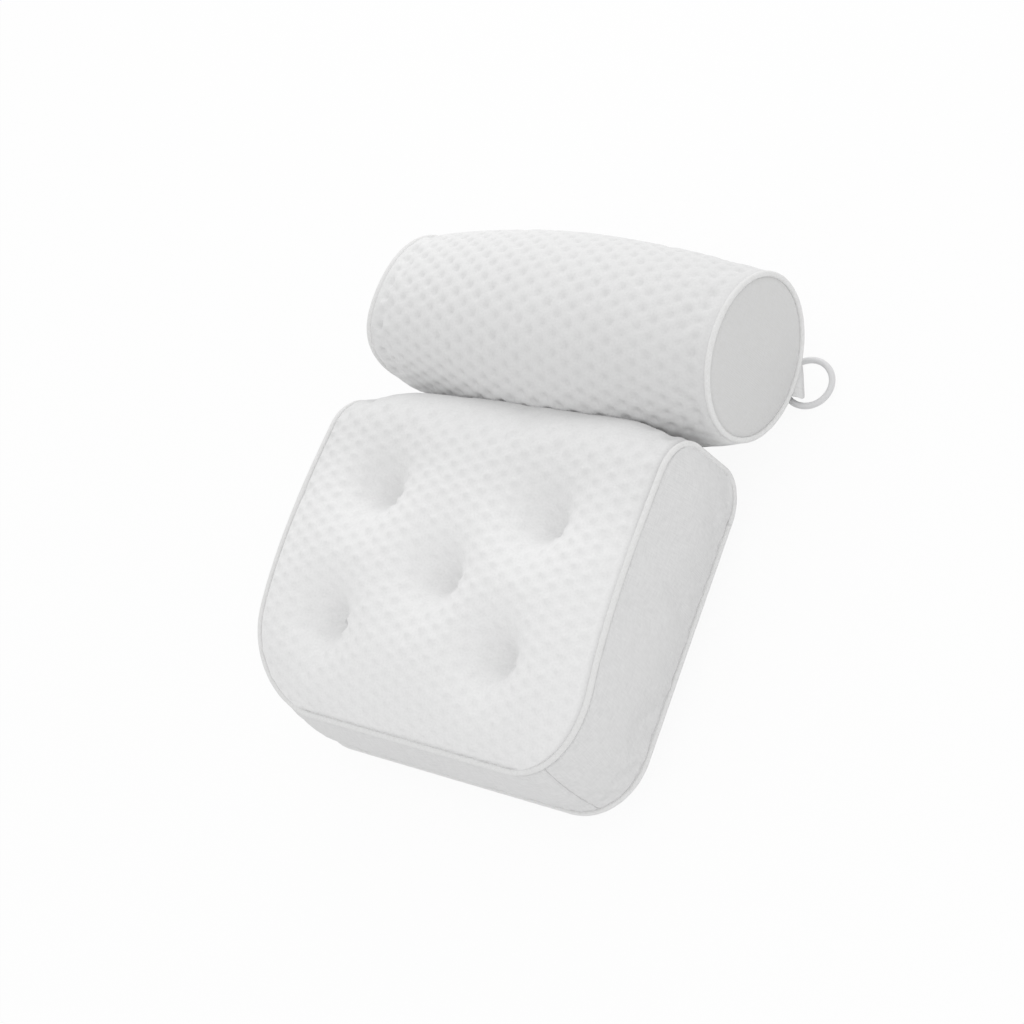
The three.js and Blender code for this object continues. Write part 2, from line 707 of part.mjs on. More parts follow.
/** An eyelet: a flange on each face of the cloth and a barrel between them. */
function eyelet([x, y]) {
  const flange = EYELET_DIAMETER / 2;
  const inner = EYELET_INNER_DIAMETER / 2;
  const profile = [
    [boreRadius, flangeLow],
    [flange, flangeLow],
    [flange, flangeTop],
    [barrelRadius, flangeTop],
    [barrelRadius, innerFlangeLow],
    [inner, innerFlangeLow],
    [inner, innerFlangeTop],
    [boreRadius, innerFlangeTop],
    [boreRadius, flangeLow],
  ];
  return turned(profile, x, y, LATHE_FACETS);
}

/** A suction cup: a hollow bell with a flat rim, a shoulder under the eyelet, a stem and a knob. */
function suctionCup([x, y]) {
  const rim = CUP_DIAMETER / 2;
  const mouth = rim - CUP_LIP;
  const shoulderRadius = CUP_SHOULDER_DIAMETER / 2;
  const shoulderTop = flangeLow - SEAM_GAP;
  const knob = CUP_KNOB_DIAMETER / 2;
  const hollow = CUP_RINGS.map((s) => [mouth * s, CUP_HOLLOW * (1 - s ** 2)]);
  const bell = CUP_RINGS.map((s) => {
    return [lerp(rim, shoulderRadius, s), lerp(CUP_LIP_HEIGHT, shoulderTop, 1 - (1 - s) ** BELL_CURVE)];
  });
  const profile = [
    ...hollow,
    [rim, 0],
    ...bell,
    [stemRadius, shoulderTop],
    [stemRadius, knobLow],
    [knob, knobLow],
    [knob, knobLow + CUP_KNOB_EDGE],
    [CUP_KNOB_TOP_DIAMETER / 2, knobTop],
    [0, knobTop],
  ];
  return turned(profile, x, y, LATHE_FACETS);
}

// Hanging ring and tab

const tabTop = rearFace - SEAM_GAP;
const loopTop = tabTop - TAB_PLY;
const tabY = rollY + TAB_OFFSET_Y;
const ringPivot = new THREE.Vector3(loopStart + loopHeight / 2, tabY, loopTop - TAB_PLAY - RING_WIRE / 2);

/** The cloth tab: a loose loop round the ring's wire, with its two plies sewn to the back of the roll. */
function hangingTab() {
  const inner = loopHeight / 2;
  const outer = inner + TAB_PLY;
  const middle = loopTop - inner;
  const shape = new THREE.Shape();
  shape.moveTo(tabRootX, tabTop);
  shape.lineTo(tabRootX, tabTop - 2 * TAB_PLY);
  shape.lineTo(loopStart - TAB_PLY, tabTop - 2 * TAB_PLY);
  shape.absarc(loopStart + inner, middle, outer, Math.PI, 1.5 * Math.PI);
  shape.absarc(loopEnd - inner, middle, outer, 1.5 * Math.PI, 2.5 * Math.PI);
  const hole = new THREE.Path();
  hole.absarc(loopStart + inner, middle, inner, 1.5 * Math.PI, 0.5 * Math.PI, true);
  hole.absarc(loopEnd - inner, middle, inner, 0.5 * Math.PI, 1.5 * Math.PI, true);
  shape.holes.push(hole);
  const loop = new THREE.ExtrudeGeometry(shape, {
    depth: TAB_WIDTH,
    bevelEnabled: false,
    curveSegments: LOOP_STEPS / 2,
  });
  return loop.rotateX(Math.PI / 2).translate(0, tabY + TAB_WIDTH / 2, 0);
}

function hangingRing() {
  return new THREE.TorusGeometry(ringRadius, RING_WIRE / 2, RING_SIDES, RING_FACETS);
}

// The assembly

const finishes = {
  mesh: new THREE.MeshStandardMaterial({ color: 0xf1f1f0, roughness: 0.9, metalness: 0 }),
  cloth: new THREE.MeshStandardMaterial({ color: 0xececea, roughness: 0.85, metalness: 0 }),
  piping: new THREE.MeshStandardMaterial({ color: 0xe9e9e6, roughness: 0.75, metalness: 0 }),
  filling: new THREE.MeshStandardMaterial({ color: 0xe4e2dc, roughness: 1, metalness: 0 }),
  thread: new THREE.MeshStandardMaterial({ color: 0xf4f4f2, roughness: 0.7, metalness: 0 }),
  plastic: new THREE.MeshStandardMaterial({ color: 0xe6e6e4, roughness: 0.35, metalness: 0 }),
  cup: new THREE.MeshStandardMaterial({ color: 0xdfe4e6, roughness: 0.25, metalness: 0 }),
};

function piece(name, geometry, finish) {
  const mesh = new THREE.Mesh(geometry, finish.clone());
  mesh.name = name;
  return mesh;
}

function backPad() {
  const group = new THREE.Group();
  group.add(piece("pad_front_cover", padFrontCover(), finishes.mesh));
  group.add(piece("pad_rear_panel", rearPanel(), finishes.mesh));
  group.add(piece("pad_side_gusset_left", sideGusset(-1), finishes.cloth));
  group.add(piece("pad_side_gusset_right", sideGusset(1), finishes.cloth));
  group.add(piece("pad_bottom_gusset", bottomGusset(), finishes.cloth));
  group.add(piece("pad_front_piping", frontPiping(), finishes.piping));
  group.add(piece("pad_rear_piping", rearPiping(), finishes.piping));
  group.add(piece("pad_filling", padCore(), finishes.filling));
  tufts.forEach((tuft, i) => group.add(piece(`tuft_tie_${i + 1}`, tuftTie(tuft), finishes.thread)));
  group.add(piece("hinge_strip_lower", stripLower(), finishes.cloth));
  return group;
}

function headRoll() {
  const group = new THREE.Group();
  group.add(piece("roll_cover", rollCover(), finishes.mesh));
  group.add(piece("roll_end_cap_left", rollEndCap(-1), finishes.cloth));
  group.add(piece("roll_end_cap_right", rollEndCap(1), finishes.cloth));
  group.add(piece("roll_piping_left", rollPiping(-1), finishes.piping));
  group.add(piece("roll_piping_right", rollPiping(1), finishes.piping));
  group.add(piece("roll_filling", rollCore(), finishes.filling));
  group.add(piece("hinge_strip_upper", stripUpper(), finishes.cloth));
  group.add(piece("hanging_tab", hangingTab(), finishes.cloth));
  return group;
}

function ringOnTab() {
  const ring = piece("hanging_ring", hangingRing(), finishes.plastic);
  const tilt = THREE.MathUtils.degToRad(RING_TILT);
  ring.rotation.y = tilt;
  ring.position.copy(ringPivot);
  ring.position.x += ringRadius * Math.cos(tilt);
  ring.position.z -= ringRadius * Math.sin(tilt);
  return ring;
}

function cupsAndEyelets() {
  const group = new THREE.Group();
  [...padCups, ...rollCups].forEach((place, i) => {
    group.add(piece(`suction_cup_${i + 1}`, suctionCup(place), finishes.cup));
    group.add(piece(`cup_eyelet_${i + 1}`, eyelet(place), finishes.plastic));
  });
  return group;
}

const pillow = new THREE.Group();
pillow.add(backPad(), headRoll(), ringOnTab(), cupsAndEyelets());
pillow.position.y = -midHeight;

export default pillow;
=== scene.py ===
"""Looks of a bath pillow: a tufted back pad and a head roll of white air mesh, with piping, plain cloth
sides, a cloth hinge strip, a hanging ring in its tab and six suction cups. In metres, in the CAD frame."""

import json
import math

import bpy
import numpy as np
from bpy.props import FloatProperty, FloatVectorProperty, PointerProperty
from mathutils import Matrix, Vector


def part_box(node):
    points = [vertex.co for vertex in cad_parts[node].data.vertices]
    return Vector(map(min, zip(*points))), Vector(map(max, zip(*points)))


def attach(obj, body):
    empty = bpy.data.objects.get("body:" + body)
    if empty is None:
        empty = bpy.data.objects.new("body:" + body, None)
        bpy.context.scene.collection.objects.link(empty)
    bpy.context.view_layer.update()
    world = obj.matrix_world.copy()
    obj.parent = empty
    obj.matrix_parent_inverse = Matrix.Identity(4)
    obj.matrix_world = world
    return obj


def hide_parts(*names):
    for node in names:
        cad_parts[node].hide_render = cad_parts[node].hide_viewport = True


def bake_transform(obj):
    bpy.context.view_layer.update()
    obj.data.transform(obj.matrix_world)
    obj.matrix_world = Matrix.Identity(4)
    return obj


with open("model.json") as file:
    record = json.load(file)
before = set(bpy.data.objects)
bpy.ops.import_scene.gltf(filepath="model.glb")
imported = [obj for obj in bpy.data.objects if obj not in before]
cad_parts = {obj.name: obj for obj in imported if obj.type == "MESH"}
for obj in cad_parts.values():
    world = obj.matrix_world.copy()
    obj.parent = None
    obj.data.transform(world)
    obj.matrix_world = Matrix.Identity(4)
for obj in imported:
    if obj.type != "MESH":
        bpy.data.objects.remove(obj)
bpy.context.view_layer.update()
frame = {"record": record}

bl_info = {
    "name": "Bath Pillow",
    "version": (1, 0, 0),
    "blender": (4, 5, 0),
    "location": "View3D > Sidebar > Bath Pillow",
    "description": "Builds the soft and moulded pieces of a bath pillow around its CAD frame",
    "category": "Object",
}

TAU = 2 * math.pi
MM = 0.001
SEAM_GAP = 0.3 * MM  # between pieces that touch


def linear(code):
    """Linear RGB of an sRGB hex code: c / 12.92 up to 0.04045, and ((c + 0.055) / 1.055) ^ 2.4 above it."""
    srgb = np.array([int(code[i : i + 2], 16) for i in (1, 3, 5)]) / 255
    return tuple(np.where(srgb <= 0.04045, srgb / 12.92, ((srgb + 0.055) / 1.055) ** 2.4).tolist())


def length(name, description, mm):
    """A length property whose default is given in millimetres."""
    return FloatProperty(name=name, description=description, default=mm * MM, min=0, precision=4,
                         subtype="DISTANCE", unit="LENGTH")


def colour(name, description, code):
    """A colour property whose default is given as sRGB hex."""
    return FloatVectorProperty(name=name, description=description, default=linear(code), min=0, max=1,
                               size=3, subtype="COLOR")


def number(name, description, value):
    """A property that is a plain number."""
    return FloatProperty(name=name, description=description, default=value)


class PILLOW_PG_pad(bpy.types.PropertyGroup):
    width: length("Width", "Between the front seams", 302)
    taper: length("Side taper", "How far a rear side seam lies inside the front one", 5.5)
    height: length("Height", "Bottom front seam to the top", 233.5)
    lean: length("Side lean", "How far a side leans in at the top, and out at the bottom", 3)
    slant: length("Top slant", "How far the top rises at its right end, and falls at its left", 5)
    rake: length("Bottom rake", "How far the rear seam reaches below the front one", 5)
    thickness: length("Thickness", "Rear face to the front seam at its fullest", 98)
    bottom_setback: length("Bottom setback", "How far the front seam falls back at the bottom", 33)
    top_setback: length("Top setback", "How far the front seam falls back at the top", 5)
    top_front_round: length("Top front round", "Radius of the top of the side view, at the front", 30)
    top_back_round: length("Top back round", "Radius of the top of the side view, at the back", 27)
    front_corner: length("Front corner", "Radius of the front seam's bottom corners", 61)
    back_corner: length("Back corner", "Radius of the rear seam's bottom corners", 45)
    crown: length("Crown", "Rise of the front cover above its seams", 11)
    top_crown: length("Top crown", "Rise of the cover where it runs over the top", 6)
    top_press: length("Top press", "How far the top would swell on, if the roll were not there", 3)
    top_fall: length("Top fall", "Distance below the top's bend over which the front's crown falls away", 75)
    shoulder: length("Crown shoulder", "Distance from a seam over which the crown rises", 60)
    gusset_swell: length("Gusset swell", "How far a gusset swells out between its seams", 3)
    corner_seam: number("Corner seam", "Degrees round a corner from the bottom to the gussets' seam", 30)
    tuft_depth: length("Tuft depth", "How far a tuft draws the cover in", 33)
    tuft_radius: length("Tuft radius", "Spread of a tuft's dip", 26)
    tuft_pinch: length("Tuft pinch", "Spread of the sharp pinch at a tuft's middle", 17)
    tuft_x: length("Tuft spread across", "From the middle tuft to the outer ones, across", 78)
    tuft_y: length("Tuft spread along", "From the middle tuft to the outer ones, along", 48)
    tuft_centre: length("Tuft centre", "Middle tuft above the bottom front seam", 111)


class PILLOW_PG_roll(bpy.types.PropertyGroup):
    long: length("Length", "Between the end seams", 305)
    high: length("Height", "Across the end seam, along Y", 113)
    deep: length("Depth", "Across the end seam, along Z", 98)
    swell: length("Swell", "How far its front swells half way along", 16)
    dome: length("Cap dome", "How far an end cap swells out", 5)
    sag: length("Sag", "How far its lower front sags on to the pad", 9)
    tuck: length("Left tuck", "How far its left end draws in at the lower front", 6)
    jut: length("Left jut", "How far its left end reaches out at the upper front", 5)
    settle: length("Settle", "How far the roll leans on to the pad's top", 2.3)


class PILLOW_PG_cloth(bpy.types.PropertyGroup):
    standoff: length("Standoff", "Cup rims to the rear face", 16)
    mesh: length("Mesh thickness", "Air mesh, full", 3)
    edge: length("Mesh edge", "Air mesh pressed flat in a seam", 2)
    plain: length("Plain cloth", "Thickness of the plain cloth", 1.5)
    piping: length("Piping", "Diameter of the piping", 4)
    dent_across: length("Dent columns", "Spacing of the columns of dents in the air mesh", 10.8)
    dent_along: length("Dent pitch", "Spacing of dents along a column", 10.3)
    dent_depth: length("Dent depth", "Depth of a dent in the roll's air mesh", 2.0)
    dent_stretch: number("Stretched dents", "Share of that depth left where the pad stretches the mesh", 0.85)
    fine: length("Grid", "Point spacing of the finished mesh covers", 1.25)
    coarse: length("Cloth grid", "Point spacing of the cloth simulation", 6)


class PILLOW_PG_finish(bpy.types.PropertyGroup):
    mesh: colour("Air mesh", "Bleached spacer knit", "#f6f6f6")
    # Painted shade: this grey is mixed into the air mesh in its dents, towards the pad's top, over its bend,
    # beside the piping and over the roll, with a little random tone
    mesh_tone_and_painted_shade: colour("Air mesh, painted shade and tone", "Grey towards which painted shade and random tone draw the knit", "#d2d2d2")
    cloth: colour("Plain cloth", "Plain woven cloth", "#ececec")
    cloth_shade: colour("Plain cloth, weft", "The thinner thread of the plain cloth", "#dedede")
    # The roll's end caps are drawn in a greyer copy of the plain cloth
    cap: colour("Cap cloth", "A greyer copy of the plain cloth, on the roll's ends", "#d8d8d7")
    piping: colour("Piping", "Bias-cut cloth over a cord", "#f0f0f0")
    piping_shade: colour("Piping, weft", "The thinner thread of the piping cloth", "#e4e4e3")
    thread: colour("Thread", "Sewing thread", "#f3f3f0")
    # Painted reflection: the ring is drawn greyer than its white plastic, in place of the dark surroundings
    # that its gloss would mirror
    ring: colour("Ring", "Moulded ring", "#dfdfe0")
    eyelet: colour("Eyelet", "Moulded eyelet", "#e9ebea")
    cup: colour("Suction cup", "Clear soft vinyl", "#e6eef0")
    floor: colour("Floor", "Pale studio floor", "#f4f4f4")


class PILLOW_PG_stage(bpy.types.PropertyGroup):
    focal: FloatProperty(name="Lens", description="Focal length", default=91.94, subtype="DISTANCE_CAMERA")
    eye: FloatVectorProperty(
        name="Camera", description="Where the camera stands", default=(1.1798, -0.3642, 1.3753), subtype="XYZ"
    )
    key: number("Key light", "Power of the large lamp behind the pillow, in watts", 3.1)
    fill: number("Fill light", "Power of the lamp on the camera's side, in watts", 1.1)
    sky: number("Sky", "Strength of the surrounding white light", 0.835)


GROUPS = {
    "pillow_pad": PILLOW_PG_pad,
    "pillow_roll": PILLOW_PG_roll,
    "pillow_cloth": PILLOW_PG_cloth,
    "pillow_finish": PILLOW_PG_finish,
    "pillow_stage": PILLOW_PG_stage,
}


# Form of the pillow


def shoulder(distance, reach):
    """0 on a seam, rising to 1 at the reach: 1 - (1 - d / reach) ^ 2."""
    return 1 - (1 - np.clip(distance / reach, 0, 1)) ** 2


def smooth(share):
    """0 to 1 with level ends: t^2 (3 - 2 t)."""
    t = np.clip(share, 0, 1)
    return t * t * (3 - 2 * t)


def mix(a, b, share):
    """a where the share is 0, and b where it is 1."""
    return a + (b - a) * share


def bell(t):
    """1 at 0, falling away on both sides: exp(-t^2)."""
    return np.exp(-(t**2))


def softened(values, count):
    """A row of values smoothed by a bell-shaped window over an odd count of them."""
    window = np.hanning(count) / np.hanning(count).sum()
    return np.convolve(np.pad(values, count // 2, mode="edge"), window, "valid")


def lengths(path):
    """The length along a path up to each of its points."""
    return np.concatenate([[0], np.cumsum(np.linalg.norm(np.diff(path, axis=0), axis=1))])


def box_middle(node):
    """The middle of a CAD node's box."""
    return np.mean(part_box(node), axis=0)


def ripples(u, v, pitch, seed, count=9):
    """Smooth irregular waves between about -1 and 1: a sum of sines in seeded directions, with wavelengths
    near one pitch."""
    draw = np.random.default_rng(seed)
    angle, phase = draw.uniform(0, TAU, (2, count))
    pace = TAU / (pitch * draw.uniform(0.7, 1.6, count))
    waves = (np.sin((u * math.cos(a) + v * math.sin(a)) * k + p) for a, k, p in zip(angle, pace, phase))
    return sum(waves) / math.sqrt(2 * count)


def spline_weights(knots, places):
    """Matrix from values at knots to a natural cubic spline at other places. The second derivatives M at the
    knots solve h0 M0 + 2 (h0 + h1) M1 + h1 M2 = 6 (slope 1 - slope 0), with M = 0 at both ends."""
    n, h = len(knots), np.diff(knots)
    i = np.arange(1, n - 1)
    left, right = np.eye(n), np.zeros((n, n))
    left[i, i - 1], left[i, i], left[i, i + 1] = h[i - 1], 2 * (h[i - 1] + h[i]), h[i]
    right[i, i - 1], right[i, i], right[i, i + 1] = 6 / h[i - 1], -6 / h[i - 1] - 6 / h[i], 6 / h[i]
    bend = np.linalg.solve(left, right)
    k = np.clip(np.searchsorted(knots, places) - 1, 0, n - 2)
    a, b, span, row = knots[k + 1] - places, places - knots[k], h[k], np.arange(len(places))
    weights = np.zeros((len(places), n))
    weights[row, k] = a / span
    weights[row, k + 1] = b / span
    weights += ((a**3 / span - span * a) / 6)[:, None] * bend[k]
    weights += ((b**3 / span - span * b) / 6)[:, None] * bend[k + 1]
    return weights


def normals(points, wrap=False):
    """Unit normals of a grid of points: the cross product of its two directions."""
    grid = np.concatenate([points[-2:], points, points[:2]]) if wrap else points
    n = np.cross(np.gradient(grid, axis=0), np.gradient(grid, axis=1))
    n /= np.linalg.norm(n, axis=-1, keepdims=True) + 1e-15
    return n[2:-2] if wrap else n


def dents(across, along, cloth):
    """0 between the dents of the air mesh and 1 in them. They lie on a staggered lattice, where three cosine
    waves have their crests together: with f = (cos 2 pi a / w + 2 cos pi a / w cos 2 pi b / h) / 3, it is
    ((2 f + 1) / 3) ^ 1.8."""
    w, h = cloth.dent_across, cloth.dent_along
    wave = (np.cos(TAU * across / w) + 2 * np.cos(math.pi * across / w) * np.cos(TAU * along / h)) / 3
    return np.clip((2 * wave + 1) / 3, 0, 1) ** 1.8


# The five tufts: their column and row, and how many millimetres each was sewn off its mark
HAND_SEWN = ((-1, 1, 0.8, 1.5), (1, 1, -5, 2), (0, 0, 2, -0.2), (-1, -1, -8.6, 2.3), (1, -1, -9.4, 4.4))


class PadForm:
    """The pad's seams and its cover, from the sizes of the pad and its cloth."""

    def __init__(self, pad, cloth, roll):
        self.pad, self.cloth, self.roll = pad, cloth, roll
        self.floor_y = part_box("pad_rear_panel")[0].y + pad.rake - cloth.piping / 2 - SEAM_GAP
        self.rear_z = cloth.standoff + cloth.mesh / 2
        self.front_top = pad.height - pad.top_front_round
        self.rear_top = pad.height - pad.top_back_round
        self.front_round_z = float(self.edge_z(self.front_top)) - pad.top_front_round
        self.rear_round_z = self.rear_z + pad.top_back_round
        self.tufts = [
            (sx * pad.tuft_x + dx * MM, pad.tuft_centre + sy * pad.tuft_y + dy * MM, 1 - 0.05 * sy)
            for sx, sy, dx, dy in HAND_SEWN
        ]
        self.profile()

    def edge_z(self, y):
        """Height of the front seam: full in the middle, falling back to both ends by fourth powers."""
        p, t = self.pad, y / self.pad.height
        return self.cloth.standoff + p.thickness - p.bottom_setback * (1 - t) ** 4 - p.top_setback * t**4

    def half_width(self, y, z):
        """Half the width at a place, on the planes that the two sides lie in."""
        p = self.pad
        lean = p.lean * (1 - 2 * np.clip(y / p.height, 0, 1))
        return p.width / 2 + lean - p.taper * (1 - (z - self.cloth.standoff) / p.thickness)

    def profile(self):
        """The cover's line in side view, by its length: up the front, round the top and down to the rear
        panel. It is kept as y and z, and the normal's y and z."""
        p = self.pad
        y = np.linspace(0, self.front_top, 400)
        drop = np.linspace(self.front_round_z, self.rear_round_z, 60)[1:-1]
        line = np.concatenate([
            np.stack([y, self.edge_z(y)], -1),
            arc(self.front_top, self.front_round_z, p.top_front_round, 90, 0, 120)[1:],
            np.stack([p.height + 0 * drop, drop], -1),
            arc(self.rear_top, self.rear_round_z, p.top_back_round, 0, -90, 90),
        ])
        run = lengths(line)
        self.run = np.linspace(0, run[-1], 900)
        y, z = (np.interp(self.run, run, v) for v in line.T)
        slope_y, slope_z = (softened(np.gradient(v), 23) for v in (y, z))
        size = np.hypot(slope_y, slope_z)
        self.line = np.stack([y, z, -slope_z / size, slope_y / size])
        self.total, self.front_run = self.run[-1], float(self.run_at(self.front_top))

    def run_at(self, y):
        """Length along the profile to a place on the front."""
        top = self.line[0].argmax()
        return np.interp(y, self.line[0][:top], self.run[:top])

    def middle(self):
        """A point in the middle of the pad."""
        p = self.pad
        return np.array([0, self.floor_y + p.tuft_centre, self.cloth.standoff + p.thickness / 2])

    def rows(self, run, inset):
        """y, z, the normal's y and z, and the half width of the cover's rows at lengths along the profile."""
        y, z, ny, nz = (np.interp(run, self.run, v) for v in self.line)
        r = self.pad.front_corner - inset
        q = np.clip((self.pad.front_corner - y) / r, 0, 1)
        narrow = np.where(y < self.pad.front_corner, inset + r * (1 - np.sqrt(1 - q * q)), inset)
        return y, z, ny, nz, self.half_width(y, z) - narrow

    def row_places(self, step, inset):
        """Lengths along the profile for a grid's rows: by equal turns round the bottom corner, then by equal
        steps."""
        corner = self.pad.front_corner
        turn = np.linspace(0, math.pi / 2, max(8, round(1.35 * corner / step)))
        first = self.run_at(inset + (corner - inset) * (1 - np.cos(turn)))
        rest = np.linspace(first[-1], self.total, round((self.total - first[-1]) / step))
        return np.concatenate([first, rest[1:]])

    def cover(self, run, share, inset, tuck):
        """The cover: its profile, raised along its normal by a crown that falls to the seams, less the tufts'
        dips. A dip is a wide bell and a sharp pinch: 0.3 exp(-(r / R)^2) + 0.7 exp(-(r / s)^1.8). The edge
        tucks under the piping. Also gives each point's x, its length along the profile, its distance to the
        nearest seam and its nearness to a tuft."""
        p = self.pad
        y, z, ny, nz, half = (v[:, None] for v in self.rows(run, inset))
        x = half * share[None, :]
        run = run[:, None] + 0 * x
        left, side, start = self.total - run, half - np.abs(x), run - inset
        full = shoulder(side, p.shoulder) * shoulder(start, p.shoulder) * shoulder(left, p.shoulder)
        facing = np.clip(nz, 0, 1)
        dip, near = 0, 0
        for tuft_x, tuft_y, deep in self.tufts:
            away = np.hypot(x - tuft_x, y - tuft_y)
            pinch = np.exp(-((away / p.tuft_pinch) ** 1.8))
            dip = dip + deep * (0.3 * bell(away / p.tuft_radius) + 0.7 * pinch)
            near = near + bell(away / (0.5 * p.tuft_radius))
        seam = np.minimum(np.minimum(side, start), left)
        # Three quarters of the crown are left where the top's bend starts
        crown = p.crown * mix(0.75, 1, smooth((self.front_run - run) / p.top_fall))
        rise = self.cloth.edge / 2 + mix(p.top_crown, crown, facing) * full - p.tuft_depth * facing * dip
        # The last row meets the rear panel, where there is no piping to tuck under
        rise = rise - tuck * (1 - smooth(seam / (1.1 * self.cloth.piping))) * (left > 20 * MM)
        press = np.clip(ny, 0, 1) * smooth(side / p.shoulder) * shoulder(left, p.shoulder)
        rise = rise + p.top_press * press
        points = self.slanted(np.stack([x, y + self.floor_y + ny * rise, z + nz * rise], -1))
        return self.pressed(points), x, run, seam, near * facing

    def slanted(self, points):
        """The points, with a top that leans: y is raised by S t |t| smooth((y / H - 0.55) / 0.45), with
        t = 2 x / W."""
        p = self.pad
        x, y, z = np.moveaxis(points, -1, 0)
        t, share = 2 * x / p.width, smooth(((y - self.floor_y) / p.height - 0.55) / 0.45)
        return np.stack([x, y + p.slant * t * np.abs(t) * share, z], -1)

    def pressed(self, points):
        """The cover's points, held off the roll: y gives way to the roll's front, less a gap, in a soft
        corner as wide as the gap."""
        x, y, z = np.moveaxis(points, -1, 0)
        gap = 2 * MM
        limit = self.roll.front(x, z) - gap
        over = np.clip((y - limit) / gap + 0.5, 0, 1)
        y = np.where(over >= 1, limit, y - (y - limit + gap / 2) * over / 2)
        return np.stack([x, y, z], -1)

    def front_seam(self, t):
        """The right half of the front seam: t 0 to 1 along the bottom from its middle, to 2 round the corner,
        to 3 up the side, to 4 round the top. Gives points and directions outwards."""
        return self.seam(t, self.pad.front_corner, 0, self.edge_z, self.front_top, self.pad.top_front_round,
                         self.front_round_z, 1)

    def rear_seam(self, t):
        """The right half of the rear seam, by the same measure."""
        p = self.pad
        return self.seam(t, p.back_corner, -p.rake, lambda y: self.rear_z + 0 * y, self.rear_top,
                         p.top_back_round, self.rear_round_z, -1)

    def seam(self, t, corner, low, height, top, radius, centre_z, sign):
        """A seam from its corner radius, its lowest y, its height at each y, and the place, the radius and
        the way of its bend over the top."""
        a = np.clip(t - 1, 0, 1) * math.pi / 2
        b = np.clip(t - 3, 0, 1) * math.pi / 2
        y = low + corner * (1 - np.cos(a)) + (top - low - corner) * np.clip(t - 2, 0, 1) + radius * np.sin(b)
        z = np.where(t <= 3, height(np.minimum(y, top)), centre_z + sign * radius * np.cos(b))
        half = self.half_width(y, z)
        x = np.where(t < 1, (half - corner) * np.clip(t, 0, 1), half - corner * (1 - np.sin(a)))
        out = np.stack([np.sin(a), -np.cos(a), 0 * a], -1)
        return np.stack([x, y + self.floor_y, z], -1), out

    def tuft_bottom(self, x, y):
        """The cover's point at a tuft."""
        run = self.run_at(np.array([y]))
        half = self.rows(run, 0)[4][0]
        return self.cover(run, np.array([x / half]), 0, 0)[0][0, 0]


class RollForm:
    """The roll's section and barrel, from the sizes of the roll and its cloth."""

    def __init__(self, roll, cloth):
        self.roll, self.cloth = roll, cloth
        _, y, z = box_middle("roll_piping_right")
        self.y, self.z = y - roll.settle, z

    def points(self, x, angle, off, share=1.0):
        """The end seam's ellipse, swollen along the barrel, with its left end pulled askew."""
        r, swell = self.roll, self.swell(x, angle)
        jut, tuck = self.askew(x, angle)
        y = share * ((r.high / 2 + off + swell) * np.cos(angle) + tuck)
        z = share * (r.deep / 2 + off + swell) * np.sin(angle)
        return np.stack([x - jut * share + 0 * y, self.y + y, self.z + z], -1)

    def askew(self, x, angle):
        """How the left end was sewn: out by J v exp(-((a - 130) / 30)^2) along x, and in by
        T v exp(-((a - 185) / 38)^2) along y, with v = (2 x / L)^1.3 on the left half and 0 on the right."""
        r, a = self.roll, np.degrees(angle) % 360
        v = np.clip(-2 * x / r.long, 0, 1) ** 1.3
        return r.jut * v * bell((a - 130) / 30), r.tuck * v * bell((a - 185) / 38)

    def swell(self, x, angle):
        """How far the barrel swells beyond its end seam: with u = 1 - (2 x / L)^2, S u ((1 + sin a) / 2)^0.6
        all round but for its flat underside, and B u^0.6 exp(-((a - 200) / 34)^2) where its lower front
        sags."""
        r = self.roll
        u = 1 - (2 * np.clip(x / r.long, -0.5, 0.5)) ** 2
        low = (np.degrees(angle) % 360 - 200) / 34
        return r.swell * u * ((1 + np.sin(angle)) / 2) ** 0.6 + r.sag * u**0.6 * bell(low)

    def front(self, x, z):
        """Y of the barrel's front at a height: its section, solved for the sine of the angle in a few
        rounds."""
        r, off = self.roll, self.cloth.edge / 2
        sine = 0 * (x + z)
        for _ in range(4):
            swell = self.swell(x, math.pi - np.arcsin(sine))
            sine = np.clip((z - self.z) / (r.deep / 2 + off + swell), -1, 1)
        tuck = self.askew(x, math.pi - np.arcsin(sine))[1]
        return self.y + tuck - (r.high / 2 + off + swell) * np.sqrt(1 - sine * sine)


# Making of meshes


def grid_faces(rows, columns, wrap=False, wrap_columns=False):
    """Quads of a grid of points, whose last row or column may join the first. Also gives the same quads
    counted on a grid that repeats its first row or column at the end, for uv."""
    tall, wide = rows + wrap, columns + wrap_columns
    index = np.arange(tall * wide).reshape(tall, wide)
    flat = np.stack([index[:-1, :-1], index[1:, :-1], index[1:, 1:], index[:-1, 1:]], -1).reshape(-1, 4)
    return flat // wide % rows * columns + flat % wide % columns, flat


def rim(rows, columns):
    """Indices round the edge of a grid of points."""
    index = np.arange(rows * columns).reshape(rows, columns)
    return np.concatenate([index[0, :-1], index[:-1, -1], index[-1, :0:-1], index[:0:-1, 0]])


def fan(loop, middle):
    """Triangles between a closed loop of points and one point."""
    return np.stack([loop, np.roll(loop, -1), np.full(len(loop), middle)], -1)


def barrel_faces(rows, columns):
    """Faces of a barrel: a grid whose rows go round, and two more points that close its ends."""
    index = np.arange(rows * columns).reshape(rows, columns)
    ends = fan(index[::-1, 0], rows * columns), fan(index[:, -1], rows * columns + 1)
    return [grid_faces(rows, columns, wrap=True)[0], *ends]


def turned_in(points, faces):
    """Whether closed faces point inwards: their signed volume, the sum of a . (b x c) over their triangles,
    is then below zero."""
    volume = 0
    for group in faces:
        for k in range(1, group.shape[1] - 1):
            a, b, c = points[group[:, 0]], points[group[:, k]], points[group[:, k + 1]]
            volume += np.einsum("ij,ij->", a, np.cross(b, c))
    return volume < 0


